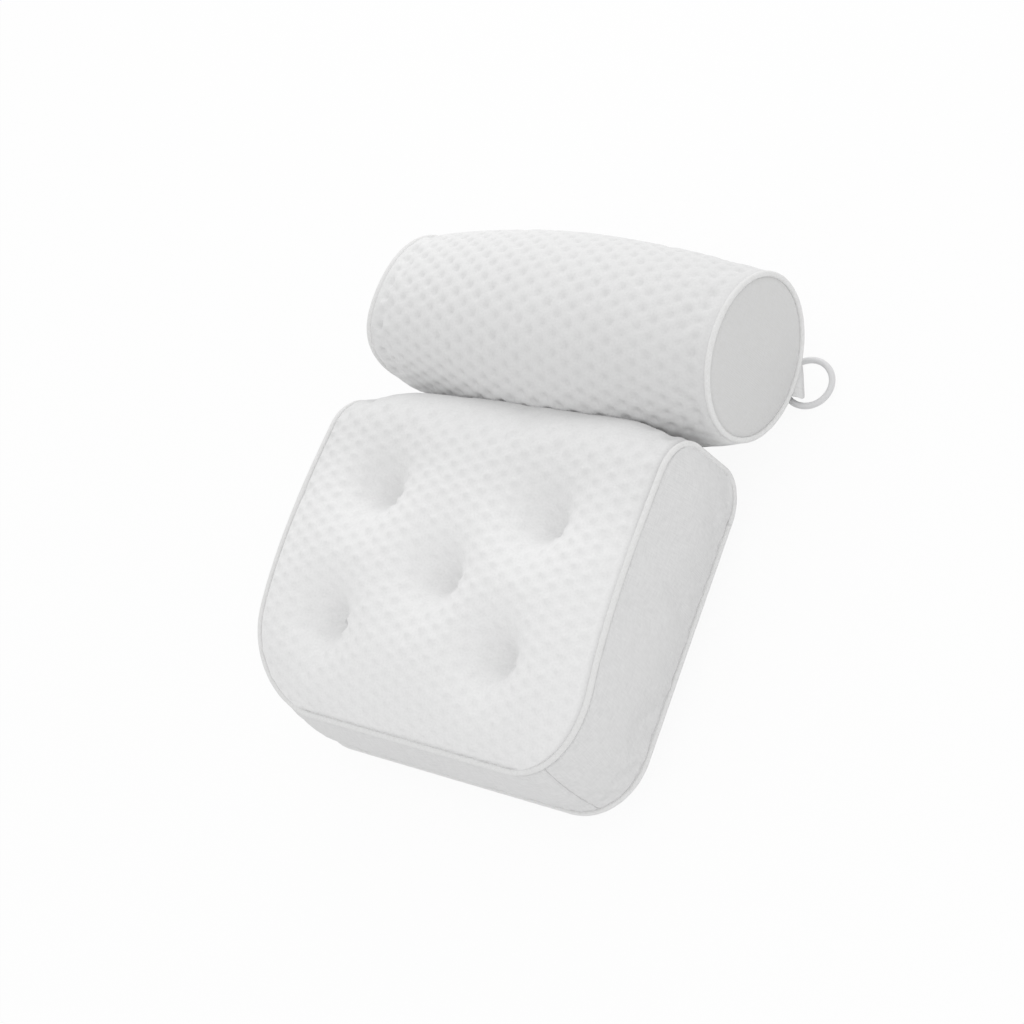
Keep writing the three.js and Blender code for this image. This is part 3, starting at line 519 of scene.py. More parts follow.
def make_piece(name, points, faces, material, uv=(), marks=None, solid=True):
    """A smooth mesh object at the origin, from points and groups of faces with equal counts of corners. uv
    has two numbers for each corner, in the same groups, and marks has one number for each point under an
    attribute's name. A solid's faces are made to point outwards."""
    if solid and turned_in(points, faces):
        faces, uv = ([group[:, ::-1] for group in groups] for groups in (faces, uv))
    mesh = bpy.data.meshes.new(name)
    corners = np.concatenate([f.ravel() for f in faces]).astype(np.int32)
    sizes = np.concatenate([np.full(len(f), f.shape[1]) for f in faces])
    mesh.vertices.add(len(points))
    mesh.vertices.foreach_set("co", np.ascontiguousarray(points, np.float32).ravel())
    mesh.loops.add(len(corners))
    mesh.loops.foreach_set("vertex_index", corners)
    mesh.polygons.add(len(sizes))
    mesh.polygons.foreach_set("loop_start", (np.cumsum(sizes) - sizes).astype(np.int32))
    mesh.polygons.foreach_set("use_smooth", np.ones(len(sizes), bool))
    if len(uv):
        corner_uv = np.concatenate([group.reshape(-1, 2) for group in uv])
        mesh.uv_layers.new(name="cloth").data.foreach_set("uv", corner_uv.astype(np.float32).ravel())
    for key, values in (marks or {}).items():
        attribute = mesh.attributes.new(key, "FLOAT", "POINT")
        attribute.data.foreach_set("value", values.astype(np.float32))
    mesh.update(calc_edges=True)
    if mesh.validate():
        raise RuntimeError(f"{name} has faces that Blender had to mend")
    obj = bpy.data.objects.new(name, mesh)
    bpy.context.scene.collection.objects.link(obj)
    if material:
        mesh.materials.append(material)
    return obj


def place(obj, body, slot, *nodes):
    """Puts a finished piece on its body, for its CAD nodes. Its material slot is not used."""
    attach(obj, body)
    if nodes:
        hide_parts(*nodes)
    return obj


def simulate(points, held, centre, pressure, growth, cap, wrap=False, frames=20):
    """How far each point of a grid moves when the cloth is blown up from a centre: Blender's cloth with
    pressure and no gravity, its held points fixed, its threads grown by a share, and no move longer than the
    cap."""
    if np.einsum("ijk,ijk->", normals(points, wrap), points - centre) < 0:
        return simulate(points[:, ::-1], held[:, ::-1], centre, pressure, growth, cap, wrap, frames)[:, ::-1]
    rows, columns = points.shape[:2]
    flat = points.reshape(-1, 3)
    obj = make_piece("cloth_trial", flat, [grid_faces(rows, columns, wrap)[0]], None, solid=False)
    group = obj.vertex_groups.new(name="held")
    group.add(np.flatnonzero(held.ravel()).tolist(), 1.0, "REPLACE")
    cloth = obj.modifiers.new("cloth", "CLOTH")
    s = cloth.settings
    s.quality, s.mass = 7, 0.3
    s.tension_stiffness = s.compression_stiffness = 18
    s.shear_stiffness, s.bending_stiffness = 8, 1.5
    s.vertex_group_mass, s.pin_stiffness = "held", 1
    s.use_pressure, s.uniform_pressure_force = True, pressure
    s.shrink_min = -growth
    s.effector_weights.gravity = 0
    cloth.collision_settings.use_collision = False
    cloth.point_cache.frame_start, cloth.point_cache.frame_end = 1, frames
    scene = bpy.context.scene
    for step in range(1, frames + 1):
        scene.frame_set(step)
    found = obj.evaluated_get(bpy.context.evaluated_depsgraph_get()).data
    moved = np.zeros(len(flat) * 3, np.float32)
    found.vertices.foreach_get("co", moved)
    scene.frame_set(1)
    mesh = obj.data
    bpy.data.objects.remove(obj)
    bpy.data.meshes.remove(mesh)
    move = moved.reshape(-1, 3).astype(float) - flat
    size = np.linalg.norm(move, axis=1, keepdims=True)
    return (move * np.minimum(1, cap / np.maximum(size, 1e-9))).reshape(points.shape)


def carry(move, rows, columns, fine_rows, fine_columns, wrap=0.0):
    """A coarse grid's moves on a finer grid, by cubic splines in both directions. wrap is the period of rows
    that go round."""
    if wrap:
        move = np.concatenate([move[-4:], move, move[:4]])
        rows = np.concatenate([rows[-4:] - wrap, rows, rows[:4] + wrap])
    down, over = spline_weights(rows, fine_rows), spline_weights(columns, fine_columns)
    return np.einsum("ai,ijk,bj->abk", down, move, over, optimize=True)


def tube_piece(name, path, out, radius, sides, material, closed=False):
    """A round section carried along a path: p + r (cos a e + sin a f), where e is the outward direction made
    square to the path and f is square to both. The radius may vary along the path, and a closed path joins
    its end to its start."""
    if closed:
        along = np.gradient(np.concatenate([path[-2:], path, path[:2]]), axis=0)[2:-2]
    else:
        along = np.gradient(path, axis=0)
    along /= np.linalg.norm(along, axis=1, keepdims=True)
    e = out - along * np.einsum("ij,ij->i", out, along)[:, None]
    e /= np.linalg.norm(e, axis=1, keepdims=True)
    f = np.cross(along, e)
    a = np.arange(sides + 1) * TAU / sides
    cos, sin = np.cos(a[:-1])[:, None, None], np.sin(a[:-1])[:, None, None]
    r = np.broadcast_to(radius, len(path))[:, None]
    points = (path + r * (cos * e + sin * f)).reshape(-1, 3)
    quads, flat = grid_faces(sides, len(path), wrap=True, wrap_columns=closed)
    step = lengths(np.concatenate([path, path[:1]]) if closed else path)
    faces, uv = [quads], [np.stack(np.meshgrid(step, a * np.mean(radius)), -1).reshape(-1, 2)[flat]]
    if not closed:
        index = np.arange(sides * len(path)).reshape(sides, len(path))
        faces += [index[None, :, 0], index[None, ::-1, -1]]
        uv += [np.zeros((1, sides, 2))] * 2
    return make_piece(name, points, faces, material, uv)


def lathe(name, profile, centre, facets, material):
    """A profile of radius and height turned about a vertical axis: (r cos a, r sin a, h). A profile that
    starts on the axis ends there too, and any other closes on itself."""
    solid = profile[0, 0] == 0
    ring = profile[1:-1] if solid else profile
    a = np.arange(facets)[:, None] * TAU / facets
    r, h = ring.T
    points = np.stack([r * np.cos(a), r * np.sin(a), h + 0 * a], -1).reshape(-1, 3)
    if solid:
        points = np.concatenate([points, [[0, 0, profile[0, 1]], [0, 0, profile[-1, 1]]]])
        faces = barrel_faces(facets, len(ring))
    else:
        faces = [grid_faces(facets, len(ring), wrap=True, wrap_columns=True)[0]]
    return make_piece(name, points + centre, faces, material)


def arc(centre_r, centre_h, radius, start, stop, count):
    """Points of a profile on an arc, by degrees."""
    a = np.radians(np.linspace(start, stop, count))
    return np.stack([centre_r + radius * np.cos(a), centre_h + radius * np.sin(a)], -1)


def stitches(name, start, end, long, wide, gap):
    """A straight row of thread stitches on the underside: ellipsoids
    c + t (L / 2) cos p + b (w / 2) sin p cos a + n (w / 2) sin p sin a, with t along the row and n down,
    spaced by their length and a gap."""
    row = np.linalg.norm(end - start)
    along, down = (end - start) / row, np.array([0, 0, -1.0])
    count, rings, sides = max(2, round(row / (long + gap))), 5, 6
    centre = start + along * ((np.arange(count) + 0.5) * row / count)[:, None]
    p, a = np.meshgrid(np.linspace(0.15, math.pi - 0.15, rings), np.arange(sides) * TAU / sides)
    thick = wide / 2 * np.sin(p)
    local = np.stack([long / 2 * np.cos(p), thick * np.cos(a), thick * np.sin(a)], -1).reshape(-1, 3)
    points = centre[:, None] + local @ np.stack([along, np.cross(along, down), down])
    index = np.arange(rings * sides).reshape(sides, rings)
    ends = np.stack([index[::-1, 0], index[:, -1]])
    shift = (np.arange(count) * rings * sides)[:, None, None]
    faces = [(f + shift).reshape(-1, f.shape[1]) for f in (grid_faces(sides, rings, wrap=True)[0], ends)]
    return make_piece(name, points.reshape(-1, 3), faces, material("thread"))


def closed_sheet(name, top, thickness, inside, material, uv):
    """A sheet of cloth with two faces and a rim: the outer grid, and the same grid moved along its normals
    towards a point inside."""
    rows, columns = top.shape[:2]
    face = normals(top)
    towards = np.sign(np.einsum("ijk,ijk->", face, np.asarray(inside) - top))
    under = top + face * towards * thickness
    quads, n = grid_faces(rows, columns)[0], rows * columns
    edge = rim(rows, columns)
    after = np.roll(edge, -1)
    faces = np.concatenate([quads, quads[:, ::-1] + n, np.stack([edge, after, after + n, edge + n], -1)])
    points = np.concatenate([top.reshape(-1, 3), under.reshape(-1, 3)])
    return make_piece(name, points, [faces], material, [uv.reshape(-1, 2)[faces % n]])


# Materials


def set_inputs(tree, node, inputs):
    """Links each input that is given an output socket, and sets any other."""
    for key, value in inputs.items():
        if isinstance(value, bpy.types.NodeSocket):
            tree.links.new(value, node.inputs[key])
        else:
            node.inputs[key].default_value = value


def add(tree, kind, inputs=None, **settings):
    """Adds a node with its settings and its inputs."""
    made = tree.nodes.new(kind)
    for key, value in settings.items():
        setattr(made, key, value)
    set_inputs(tree, made, inputs or {})
    return made


def new_material(name):
    """A material with an empty tree, its shader and its output."""
    material = bpy.data.materials.new(name)
    material.use_nodes = True
    tree = material.node_tree
    tree.nodes.clear()
    shader = add(tree, "ShaderNodeBsdfPrincipled")
    add(tree, "ShaderNodeOutputMaterial", {"Surface": shader.outputs["BSDF"]})
    return material, tree, shader


def rgba(value):
    """A colour with full alpha."""
    return (*value, 1.0)


def air_mesh(finish):
    """Bleached polyester spacer knit: a thick, soft, matt cloth. Its open face shows as fine pits, drawn
    coarser than they are, 1.7 mm apart, so that they show. The dents are in the mesh itself. An attribute
    gives painted shade: it draws the colour towards a grey in the dents, towards the pad's top, over its
    bend, beside the piping and over the roll."""
    material, tree, shader = new_material("polyester_spacer_knit")
    at = add(tree, "ShaderNodeTexCoord").outputs["Object"]
    pits = add(tree, "ShaderNodeTexVoronoi", {"Vector": at, "Scale": 1 / (1.7 * MM), "Randomness": 0.75},
               feature="SMOOTH_F1")
    fuzz = add(tree, "ShaderNodeTexNoise", {"Vector": at, "Scale": 1 / (0.8 * MM), "Detail": 2.0})
    drift = add(tree, "ShaderNodeTexNoise", {"Vector": at, "Scale": 1 / (45 * MM), "Detail": 3.0})
    # Painted shade: the shade attribute draws the knit towards its grey, and a slow noise adds a little
    # random tone
    held = add(tree, "ShaderNodeAttribute", attribute_name="shade")
    shade = add(tree, "ShaderNodeMath", {0: held.outputs["Fac"], 1: 0.22}, operation="MULTIPLY")
    shade = add(tree, "ShaderNodeMath", {0: drift.outputs["Fac"], 1: 0.08, 2: shade.outputs[0]},
                operation="MULTIPLY_ADD")
    base = add(tree, "ShaderNodeMix", {
        "Factor": shade.outputs[0], "A": rgba(finish.mesh), "B": rgba(finish.mesh_tone_and_painted_shade),
    }, data_type="RGBA")
    tone = add(tree, "ShaderNodeMapRange", {
        "Value": pits.outputs["Distance"], "From Min": 0.1, "From Max": 0.7, "To Min": 0.95, "To Max": 1.0,
    })
    knit = add(tree, "ShaderNodeMix", {"Factor": 1.0, "A": base.outputs["Result"], "B": tone.outputs[0]},
               data_type="RGBA", blend_type="MULTIPLY")
    height = add(tree, "ShaderNodeMath", {0: fuzz.outputs["Fac"], 1: 0.35, 2: pits.outputs["Distance"]},
                 operation="MULTIPLY_ADD")
    bump = add(tree, "ShaderNodeBump", {"Height": height.outputs[0], "Strength": 0.5, "Distance": 0.5 * MM})
    rough = add(tree, "ShaderNodeMapRange", {"Value": fuzz.outputs["Fac"], "To Min": 0.84, "To Max": 0.97})
    set_inputs(tree, shader, {
        "Base Color": knit.outputs["Result"], "Roughness": rough.outputs[0], "Normal": bump.outputs["Normal"],
        "IOR": 1.5, "Specular IOR Level": 0.25, "Sheen Weight": 0.12, "Sheen Roughness": 0.55,
    })
    return material


def woven(name, main, weft, thread_mm, turn, grain):
    """Plain-woven polyester cloth: two sets of threads over and under each other, matt with a faint sheen.
    The real threads are about 0.3 mm; they are drawn coarser, at thread_mm, so that the weave shows. turn is
    the weave's angle to the piece."""
    material, tree, shader = new_material(name)
    uv = add(tree, "ShaderNodeUVMap", uv_map="cloth").outputs["UV"]
    lay = add(tree, "ShaderNodeMapping", {"Vector": uv, "Rotation": (0, 0, math.radians(turn))}).outputs[0]
    scale = math.pi / 10 / (thread_mm * MM)
    warp, fill = (
        add(tree, "ShaderNodeTexWave", {"Vector": lay, "Scale": scale, "Distortion": 0.6, "Detail": 1.0},
            bands_direction=axis)
        for axis in "XY"
    )
    slubs = []
    for stretch in ((1.0, 0.14, 1.0), (0.14, 1.0, 1.0)):
        drawn = add(tree, "ShaderNodeMapping", {"Vector": lay, "Scale": stretch}).outputs[0]
        noise = {"Vector": drawn, "Scale": 1 / (1.1 * MM), "Detail": 2.0}
        slubs.append(add(tree, "ShaderNodeTexNoise", noise).outputs["Fac"])
    slub = add(tree, "ShaderNodeMath", {0: slubs[0], 1: slubs[1]}, operation="ADD").outputs[0]
    weave = add(tree, "ShaderNodeMath", {0: warp.outputs["Fac"], 1: fill.outputs["Fac"]},
                operation="MULTIPLY").outputs[0]
    shade = add(tree, "ShaderNodeMath", {0: weave, 1: -0.3, 2: slub}, operation="MULTIPLY_ADD")
    tone = add(tree, "ShaderNodeMapRange", {"Value": shade.outputs[0], "From Min": 0.5, "From Max": 1.3})
    base = add(tree, "ShaderNodeMix", {"Factor": tone.outputs[0], "A": rgba(main), "B": rgba(weft)},
               data_type="RGBA")
    height = add(tree, "ShaderNodeMath", {0: slub, 1: 0.6, 2: weave}, operation="MULTIPLY_ADD")
    bump = add(tree, "ShaderNodeBump", {
        "Height": height.outputs[0], "Strength": grain, "Distance": 0.15 * MM,
    })
    rough = add(tree, "ShaderNodeMapRange", {"Value": slub, "From Max": 2.0, "To Min": 0.72, "To Max": 0.9})
    set_inputs(tree, shader, {
        "Base Color": base.outputs["Result"], "Roughness": rough.outputs[0], "Normal": bump.outputs["Normal"],
        "IOR": 1.5, "Specular IOR Level": 0.3, "Sheen Weight": 0.1, "Sheen Roughness": 0.5,
    })
    return material


def sewing_thread(finish):
    """Spun polyester thread: matt, with a fine twist."""
    material, tree, shader = new_material("spun_polyester_thread")
    at = add(tree, "ShaderNodeTexCoord").outputs["Object"]
    noise = {"Vector": at, "Scale": 1 / (0.5 * MM), "Detail": 2.0}
    twist = add(tree, "ShaderNodeTexNoise", noise).outputs["Fac"]
    bump = add(tree, "ShaderNodeBump", {"Height": twist, "Strength": 0.5, "Distance": 0.1 * MM})
    rough = add(tree, "ShaderNodeMapRange", {"Value": twist, "To Min": 0.55, "To Max": 0.8})
    set_inputs(tree, shader, {
        "Base Color": rgba(finish.thread), "Roughness": rough.outputs[0], "Normal": bump.outputs["Normal"],
        "Sheen Weight": 0.1, "Sheen Roughness": 0.4,
    })
    return material


def moulded(name, tint, rough_low, rough_high):
    """Moulded plastic: smooth and half gloss, with faint flow marks and handling marks in its gloss."""
    material, tree, shader = new_material(name)
    at = add(tree, "ShaderNodeTexCoord").outputs["Object"]
    flow = add(tree, "ShaderNodeTexNoise", {"Vector": at, "Scale": 1 / (6 * MM), "Detail": 4.0})
    grain = add(tree, "ShaderNodeTexNoise", {"Vector": at, "Scale": 1 / (0.6 * MM), "Detail": 2.0})
    rough = add(tree, "ShaderNodeMapRange", {
        "Value": flow.outputs["Fac"], "From Min": 0.3, "From Max": 0.7, "To Min": rough_low,
        "To Max": rough_high,
    })
    bump = add(tree, "ShaderNodeBump", {
        "Height": grain.outputs["Fac"], "Strength": 0.08, "Distance": 0.1 * MM,
    })
    set_inputs(tree, shader, {
        "Base Color": rgba(tint), "Roughness": rough.outputs[0], "Normal": bump.outputs["Normal"],
        "IOR": 1.49,
    })
    return material


def clear_vinyl(finish):
    """Soft clear vinyl: see-through with a faint cool tint, smooth and glossy, with a haze that comes and
    goes in its gloss."""
    material, tree, shader = new_material("clear_soft_vinyl")
    at = add(tree, "ShaderNodeTexCoord").outputs["Object"]
    haze = add(tree, "ShaderNodeTexNoise", {"Vector": at, "Scale": 1 / (9 * MM), "Detail": 3.0})
    rough = add(tree, "ShaderNodeMapRange", {"Value": haze.outputs["Fac"], "To Min": 0.08, "To Max": 0.24})
    set_inputs(tree, shader, {
        "Base Color": rgba(finish.cup), "Roughness": rough.outputs[0], "IOR": 1.53,
        "Transmission Weight": 0.8,
    })
    return material


MAKERS = {
    "mesh": air_mesh,
    "cloth": lambda f: woven("plain_polyester_cloth", f.cloth, f.cloth_shade, 1.3, 0, 0.35),
    "cap": lambda f: woven("greyer_polyester_cloth", f.cap, f.cloth_shade, 1.3, 0, 0.35),
    "piping": lambda f: woven("bias_piping_cloth", f.piping, f.piping_shade, 0.6, 45, 0.12),
    "thread": sewing_thread,
    "ring": lambda f: moulded("white_polypropylene", f.ring, 0.28, 0.42),
    "eyelet": lambda f: moulded("white_nylon", f.eyelet, 0.35, 0.5),
    "cup": clear_vinyl,
}
made_materials = {}


def material(kind):
    """The material of a kind, made once."""
    if kind not in made_materials:
        made_materials[kind] = MAKERS[kind](bpy.context.scene.pillow_finish)
    return made_materials[kind]


def forms():
    """The pad's form and the roll's, from the scene's sizes."""
    scene = bpy.context.scene
    roll = RollForm(scene.pillow_roll, scene.pillow_cloth)
    return PadForm(scene.pillow_pad, scene.pillow_cloth, roll), roll


# Operators, one for each piece or group of like pieces


class PILLOW_OT_pad_cover(bpy.types.Operator):
    """Makes the pad's tufted front cover with its filling as one closed cushion"""

    bl_idname = "pillow.pad_cover"
    bl_label = "Pad Cover"

    def execute(self, context):
        form = forms()[0]
        cloth, pad, centre = form.cloth, form.pad, form.middle()
        inset, tuck = 0.6 * MM, 1.6 * MM
        rows, share = form.row_places(cloth.coarse, inset), np.linspace(-1, 1, 51)
        base, _, _, seam, near = form.cover(rows, share, inset, tuck)
        held = (near > 0.45) | (seam < 1.5 * MM)
        move = simulate(base, held, centre, pressure=4.0, growth=0.004, cap=4 * MM)
        fine, across = form.row_places(cloth.fine, inset), np.linspace(-1, 1, round(pad.width / cloth.fine))
        points, x, run, seam, near = form.cover(fine, across, inset, tuck)
        points = points + carry(move, rows, share, fine, across)
        facing = form.rows(fine, inset)[3][:, None]
        # The dents die away at the seams, in the tufts and over the top's bend, where the cloth is tight
        slack = smooth(seam / (9 * MM)) * (1 - 0.5 * np.clip(near, 0, 1))
        slack = slack * mix(0.05, 1.0, smooth((facing - 0.55) / 0.4))
        dent = dents(x, run, cloth) * cloth.dent_stretch * slack
        uneven = 1 + 0.3 * ripples(x, run, 16 * MM, 3)
        waves = 0.25 * MM * ripples(x, run, 30 * MM, 5) * smooth(seam / (12 * MM))
        rise = waves - cloth.dent_depth * dent * uneven
        points = form.pressed(points + normals(points) * rise[..., None])
        # Painted shade: the knit is drawn darker in the dents, towards the top, over its bend and in the
        # groove beside the piping
        shade = 0.55 * dent + 1.2 * (1 - smooth((form.front_run - run) / (60 * MM)))
        shade = shade + 2.0 * (1 - smooth((facing - 0.4) / 0.6)) + 1.5 * np.exp(-((seam / (3.4 * MM)) ** 4))
        n, m = points.shape[:2]
        flat = np.concatenate([points.reshape(-1, 3), centre[None]])
        faces = [grid_faces(n, m)[0], fan(rim(n, m), n * m)]
        obj = make_piece("pad_cushion", flat, faces, material("mesh"), marks={"shade": np.append(shade, 0)})
        place(obj, "back_pad", "air_mesh", "pad_front_cover", "pad_filling")
        return {"FINISHED"}


class PILLOW_OT_gussets(bpy.types.Operator):
    """Makes the pad's plain cloth sides and bottom, which meet in a slanting seam at each bottom corner"""

    bl_idname = "pillow.gussets"
    bl_label = "Pad Gussets"

    def band(self, form, t, s, right):
        """Points of the band between the seams: front and rear seam points mixed by s, swollen by
        4 s (1 - s). Also gives the outward directions and the band's widths."""
        front, out = form.front_seam(np.abs(t))
        rear, _ = form.rear_seam(np.abs(t))
        sign = np.where(t < 0, -1.0, 1.0)[:, None] * right
        flip = np.concatenate([sign, np.ones((len(t), 2))], -1)
        front, rear, out = form.slanted(front * flip), form.slanted(rear * flip), out * flip
        across = rear - front
        wide = np.linalg.norm(across, axis=1)
        fall = shoulder(form.pad.height + form.floor_y - front[:, 1], form.pad.shoulder)
        points = rear[:, None] - across[:, None] * s[None, :, None]
        swell = form.pad.gusset_swell * fall[:, None] * 4 * s * (1 - s)
        return points + out[:, None] * swell[..., None], out, wide

    def make(self, form, name, node, t_range, both, right):
        """One gusset between two places on the seams. Its first end is sewn to the next gusset, or both
        are."""
        t_coarse, s_coarse = np.linspace(*t_range, 64), np.linspace(0, 1, 17)
        base = self.band(form, t_coarse, s_coarse, right)[0]
        held = np.zeros(base.shape[:2], bool)
        held.flat[rim(*held.shape)] = True
        move = simulate(base, held, form.middle(), pressure=2.2, growth=0.01, cap=4 * MM)
        t, s = np.linspace(*t_range, 260), (1 - np.cos(np.linspace(0, math.pi, 90))) / 2
        points, out, wide = self.band(form, t, s, right)
        points = points + carry(move, t_coarse, s_coarse, t, s)
        along = lengths(points[:, len(s) // 2])
        u, v = along[:, None] + 0 * s, wide[:, None] * s
        edge = np.minimum(s, 1 - s) * wide[:, None]
        inside = smooth(edge / (14 * MM))
        rise = 0.5 * MM * ripples(u, v * 0.35, 26 * MM, 11) * inside
        # A tucked edge, and the groove beside the piping
        rise = rise - 0.4 * MM * (1 - smooth(edge / (3.4 * MM)))
        rise = rise - 1.6 * MM * bell((edge - 2.7 * MM) / (0.8 * MM))
        # The seam to the next gusset, and its puckers
        reach = np.minimum(u, along[-1] - u) if both else u
        rise = rise - 1.0 * MM * (1 - smooth(reach / (1.8 * MM)))
        rise = rise + 0.18 * MM * np.exp(-reach / (5 * MM)) * np.sin(TAU * v / (7 * MM)) * inside
        points = points + out[:, None] * rise[..., None]
        obj = closed_sheet(name, points, form.cloth.plain * 0.6, form.middle(), material("cloth"),
                           np.stack([u, v], -1))
        place(obj, "back_pad", "plain_cloth", node)

    def execute(self, context):
        form = forms()[0]
        turn, lap = 1 + form.pad.corner_seam / 90, 0.002
        self.make(form, "pad_side_right", "pad_side_gusset_right", (turn - lap, 4), False, 1)
        self.make(form, "pad_side_left", "pad_side_gusset_left", (turn - lap, 4), False, -1)
        self.make(form, "pad_bottom", "pad_bottom_gusset", (-turn - lap, turn + lap), True, 1)
        return {"FINISHED"}


class PILLOW_OT_pad_rear(bpy.types.Operator):
    """Makes the pad's flat rear panel of air mesh"""

    bl_idname = "pillow.pad_rear"
    bl_label = "Pad Rear Panel"

    def execute(self, context):
        form = forms()[0]
        cloth, pad = form.cloth, form.pad
        inset = 0.6 * MM
        low, top = -pad.rake + inset, form.rear_top - 0.2 * MM
        radius = pad.back_corner - inset
        turn = np.linspace(0, math.pi / 2, 44)
        y = np.concatenate([low + radius * (1 - np.cos(turn)), np.linspace(low + radius, top, 112)[1:]])
        q = np.clip((low + radius - y) / radius, 0, 1)
        half = form.half_width(y, form.rear_z) - inset - radius * (1 - np.sqrt(1 - q * q))
        share = np.linspace(-1, 1, 170)
        x, yy = half[:, None] * share, y[:, None] + 0 * share
        seam = np.minimum(np.minimum(half[:, None] - np.abs(x), yy - low), top - yy)
        z = cloth.standoff + 0.9 * MM * (1 - smooth(seam / (5 * MM)))
        dent = dents(x, yy, cloth) * smooth(seam / (9 * MM))
        z = z + cloth.dent_stretch * cloth.dent_depth * dent
        points = form.slanted(np.stack([x, yy + form.floor_y, z], -1))
        above = (0, form.floor_y + pad.height / 2, 1)
        obj = closed_sheet("pad_back", points, 1.2 * MM, above, material("mesh"), points[..., :2])
        place(obj, "back_pad", "air_mesh", "pad_rear_panel")
        return {"FINISHED"}


class PILLOW_OT_pad_piping(bpy.types.Operator):
    """Makes the piping on the pad's front and rear seams"""

    bl_idname = "pillow.pad_piping"
    bl_label = "Pad Piping"

    def execute(self, context):
        form = forms()[0]
        t = np.concatenate([np.linspace(k, k + 1, count)[:-1] for k, count in enumerate((70, 64, 100))])
        front, out = form.front_seam(t)
        y, z, _, _, half = form.rows(np.linspace(form.front_run, form.total, 92), 0)
        over = np.stack([half, y + form.floor_y, z], -1)
        tail = over[-1:] - [0, 2 * MM, 0]
        out = np.concatenate([out, np.tile([1.0, 0, 0], (len(over) + 1, 1))])
        self.cord(form, "front", np.concatenate([front, over, tail]), out)
        rear, out = form.rear_seam(np.append(t, 3))
        rear[-1, 1] = tail[0, 1] - SEAM_GAP
        self.cord(form, "rear", rear, out)
        return {"FINISHED"}

    def cord(self, form, word, half, out):
        """Piping along a seam, from its right half and the outward directions there: a tube whose thickness
        varies a little along it, as cloth drawn over a cord does."""
        path, away = (np.concatenate([(v * [-1, 1, 1])[:0:-1], v]) for v in (half, out))
        path = form.slanted(path)
        step = lengths(path)
        thick = form.cloth.piping / 2 * (1 + 0.03 * ripples(step, 0 * step, 9 * MM, 21))
        obj = tube_piece(f"pad_{word}_welt", path, away, thick, 14, material("piping"))
        place(obj, "back_pad", "piping", f"pad_{word}_piping")


class PILLOW_OT_ties(bpy.types.Operator):
    """Makes the twisted threads that draw the tufts in"""

    bl_idname = "pillow.ties"
    bl_label = "Tuft Ties"

    def execute(self, context):
        form = forms()[0]
        bottoms = np.array([form.tuft_bottom(x, y) for x, y, _ in form.tufts])
        for i in range(1, 6):
            low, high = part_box(f"tuft_tie_{i}")
            foot = np.append(box_middle(f"tuft_tie_{i}")[:2], low.z)
            nearest = np.linalg.norm((bottoms - foot)[:, :2], axis=1).argmin()
            tip = bottoms[nearest] - [0, 0, 3.5 * MM]
            radius = 0.42 * (high.x - low.x) / 2
            h = np.linspace(0, 1, 60)[:, None]
            turn = TAU * h * (tip[2] - foot[2]) / (5 * MM)
            core = foot + (tip - foot) * h
            twist = radius * np.concatenate([np.cos(turn), np.sin(turn), 0 * h], -1)
            path = np.concatenate([core + twist, (core - twist)[::-1]])
            out = np.tile([0.3, 0.95, 0.1], (len(path), 1))
            obj = tube_piece(f"tie_thread_{i}", path, out, radius, 6, material("thread"))
            place(obj, "back_pad", "thread", f"tuft_tie_{i}")
        return {"FINISHED"}


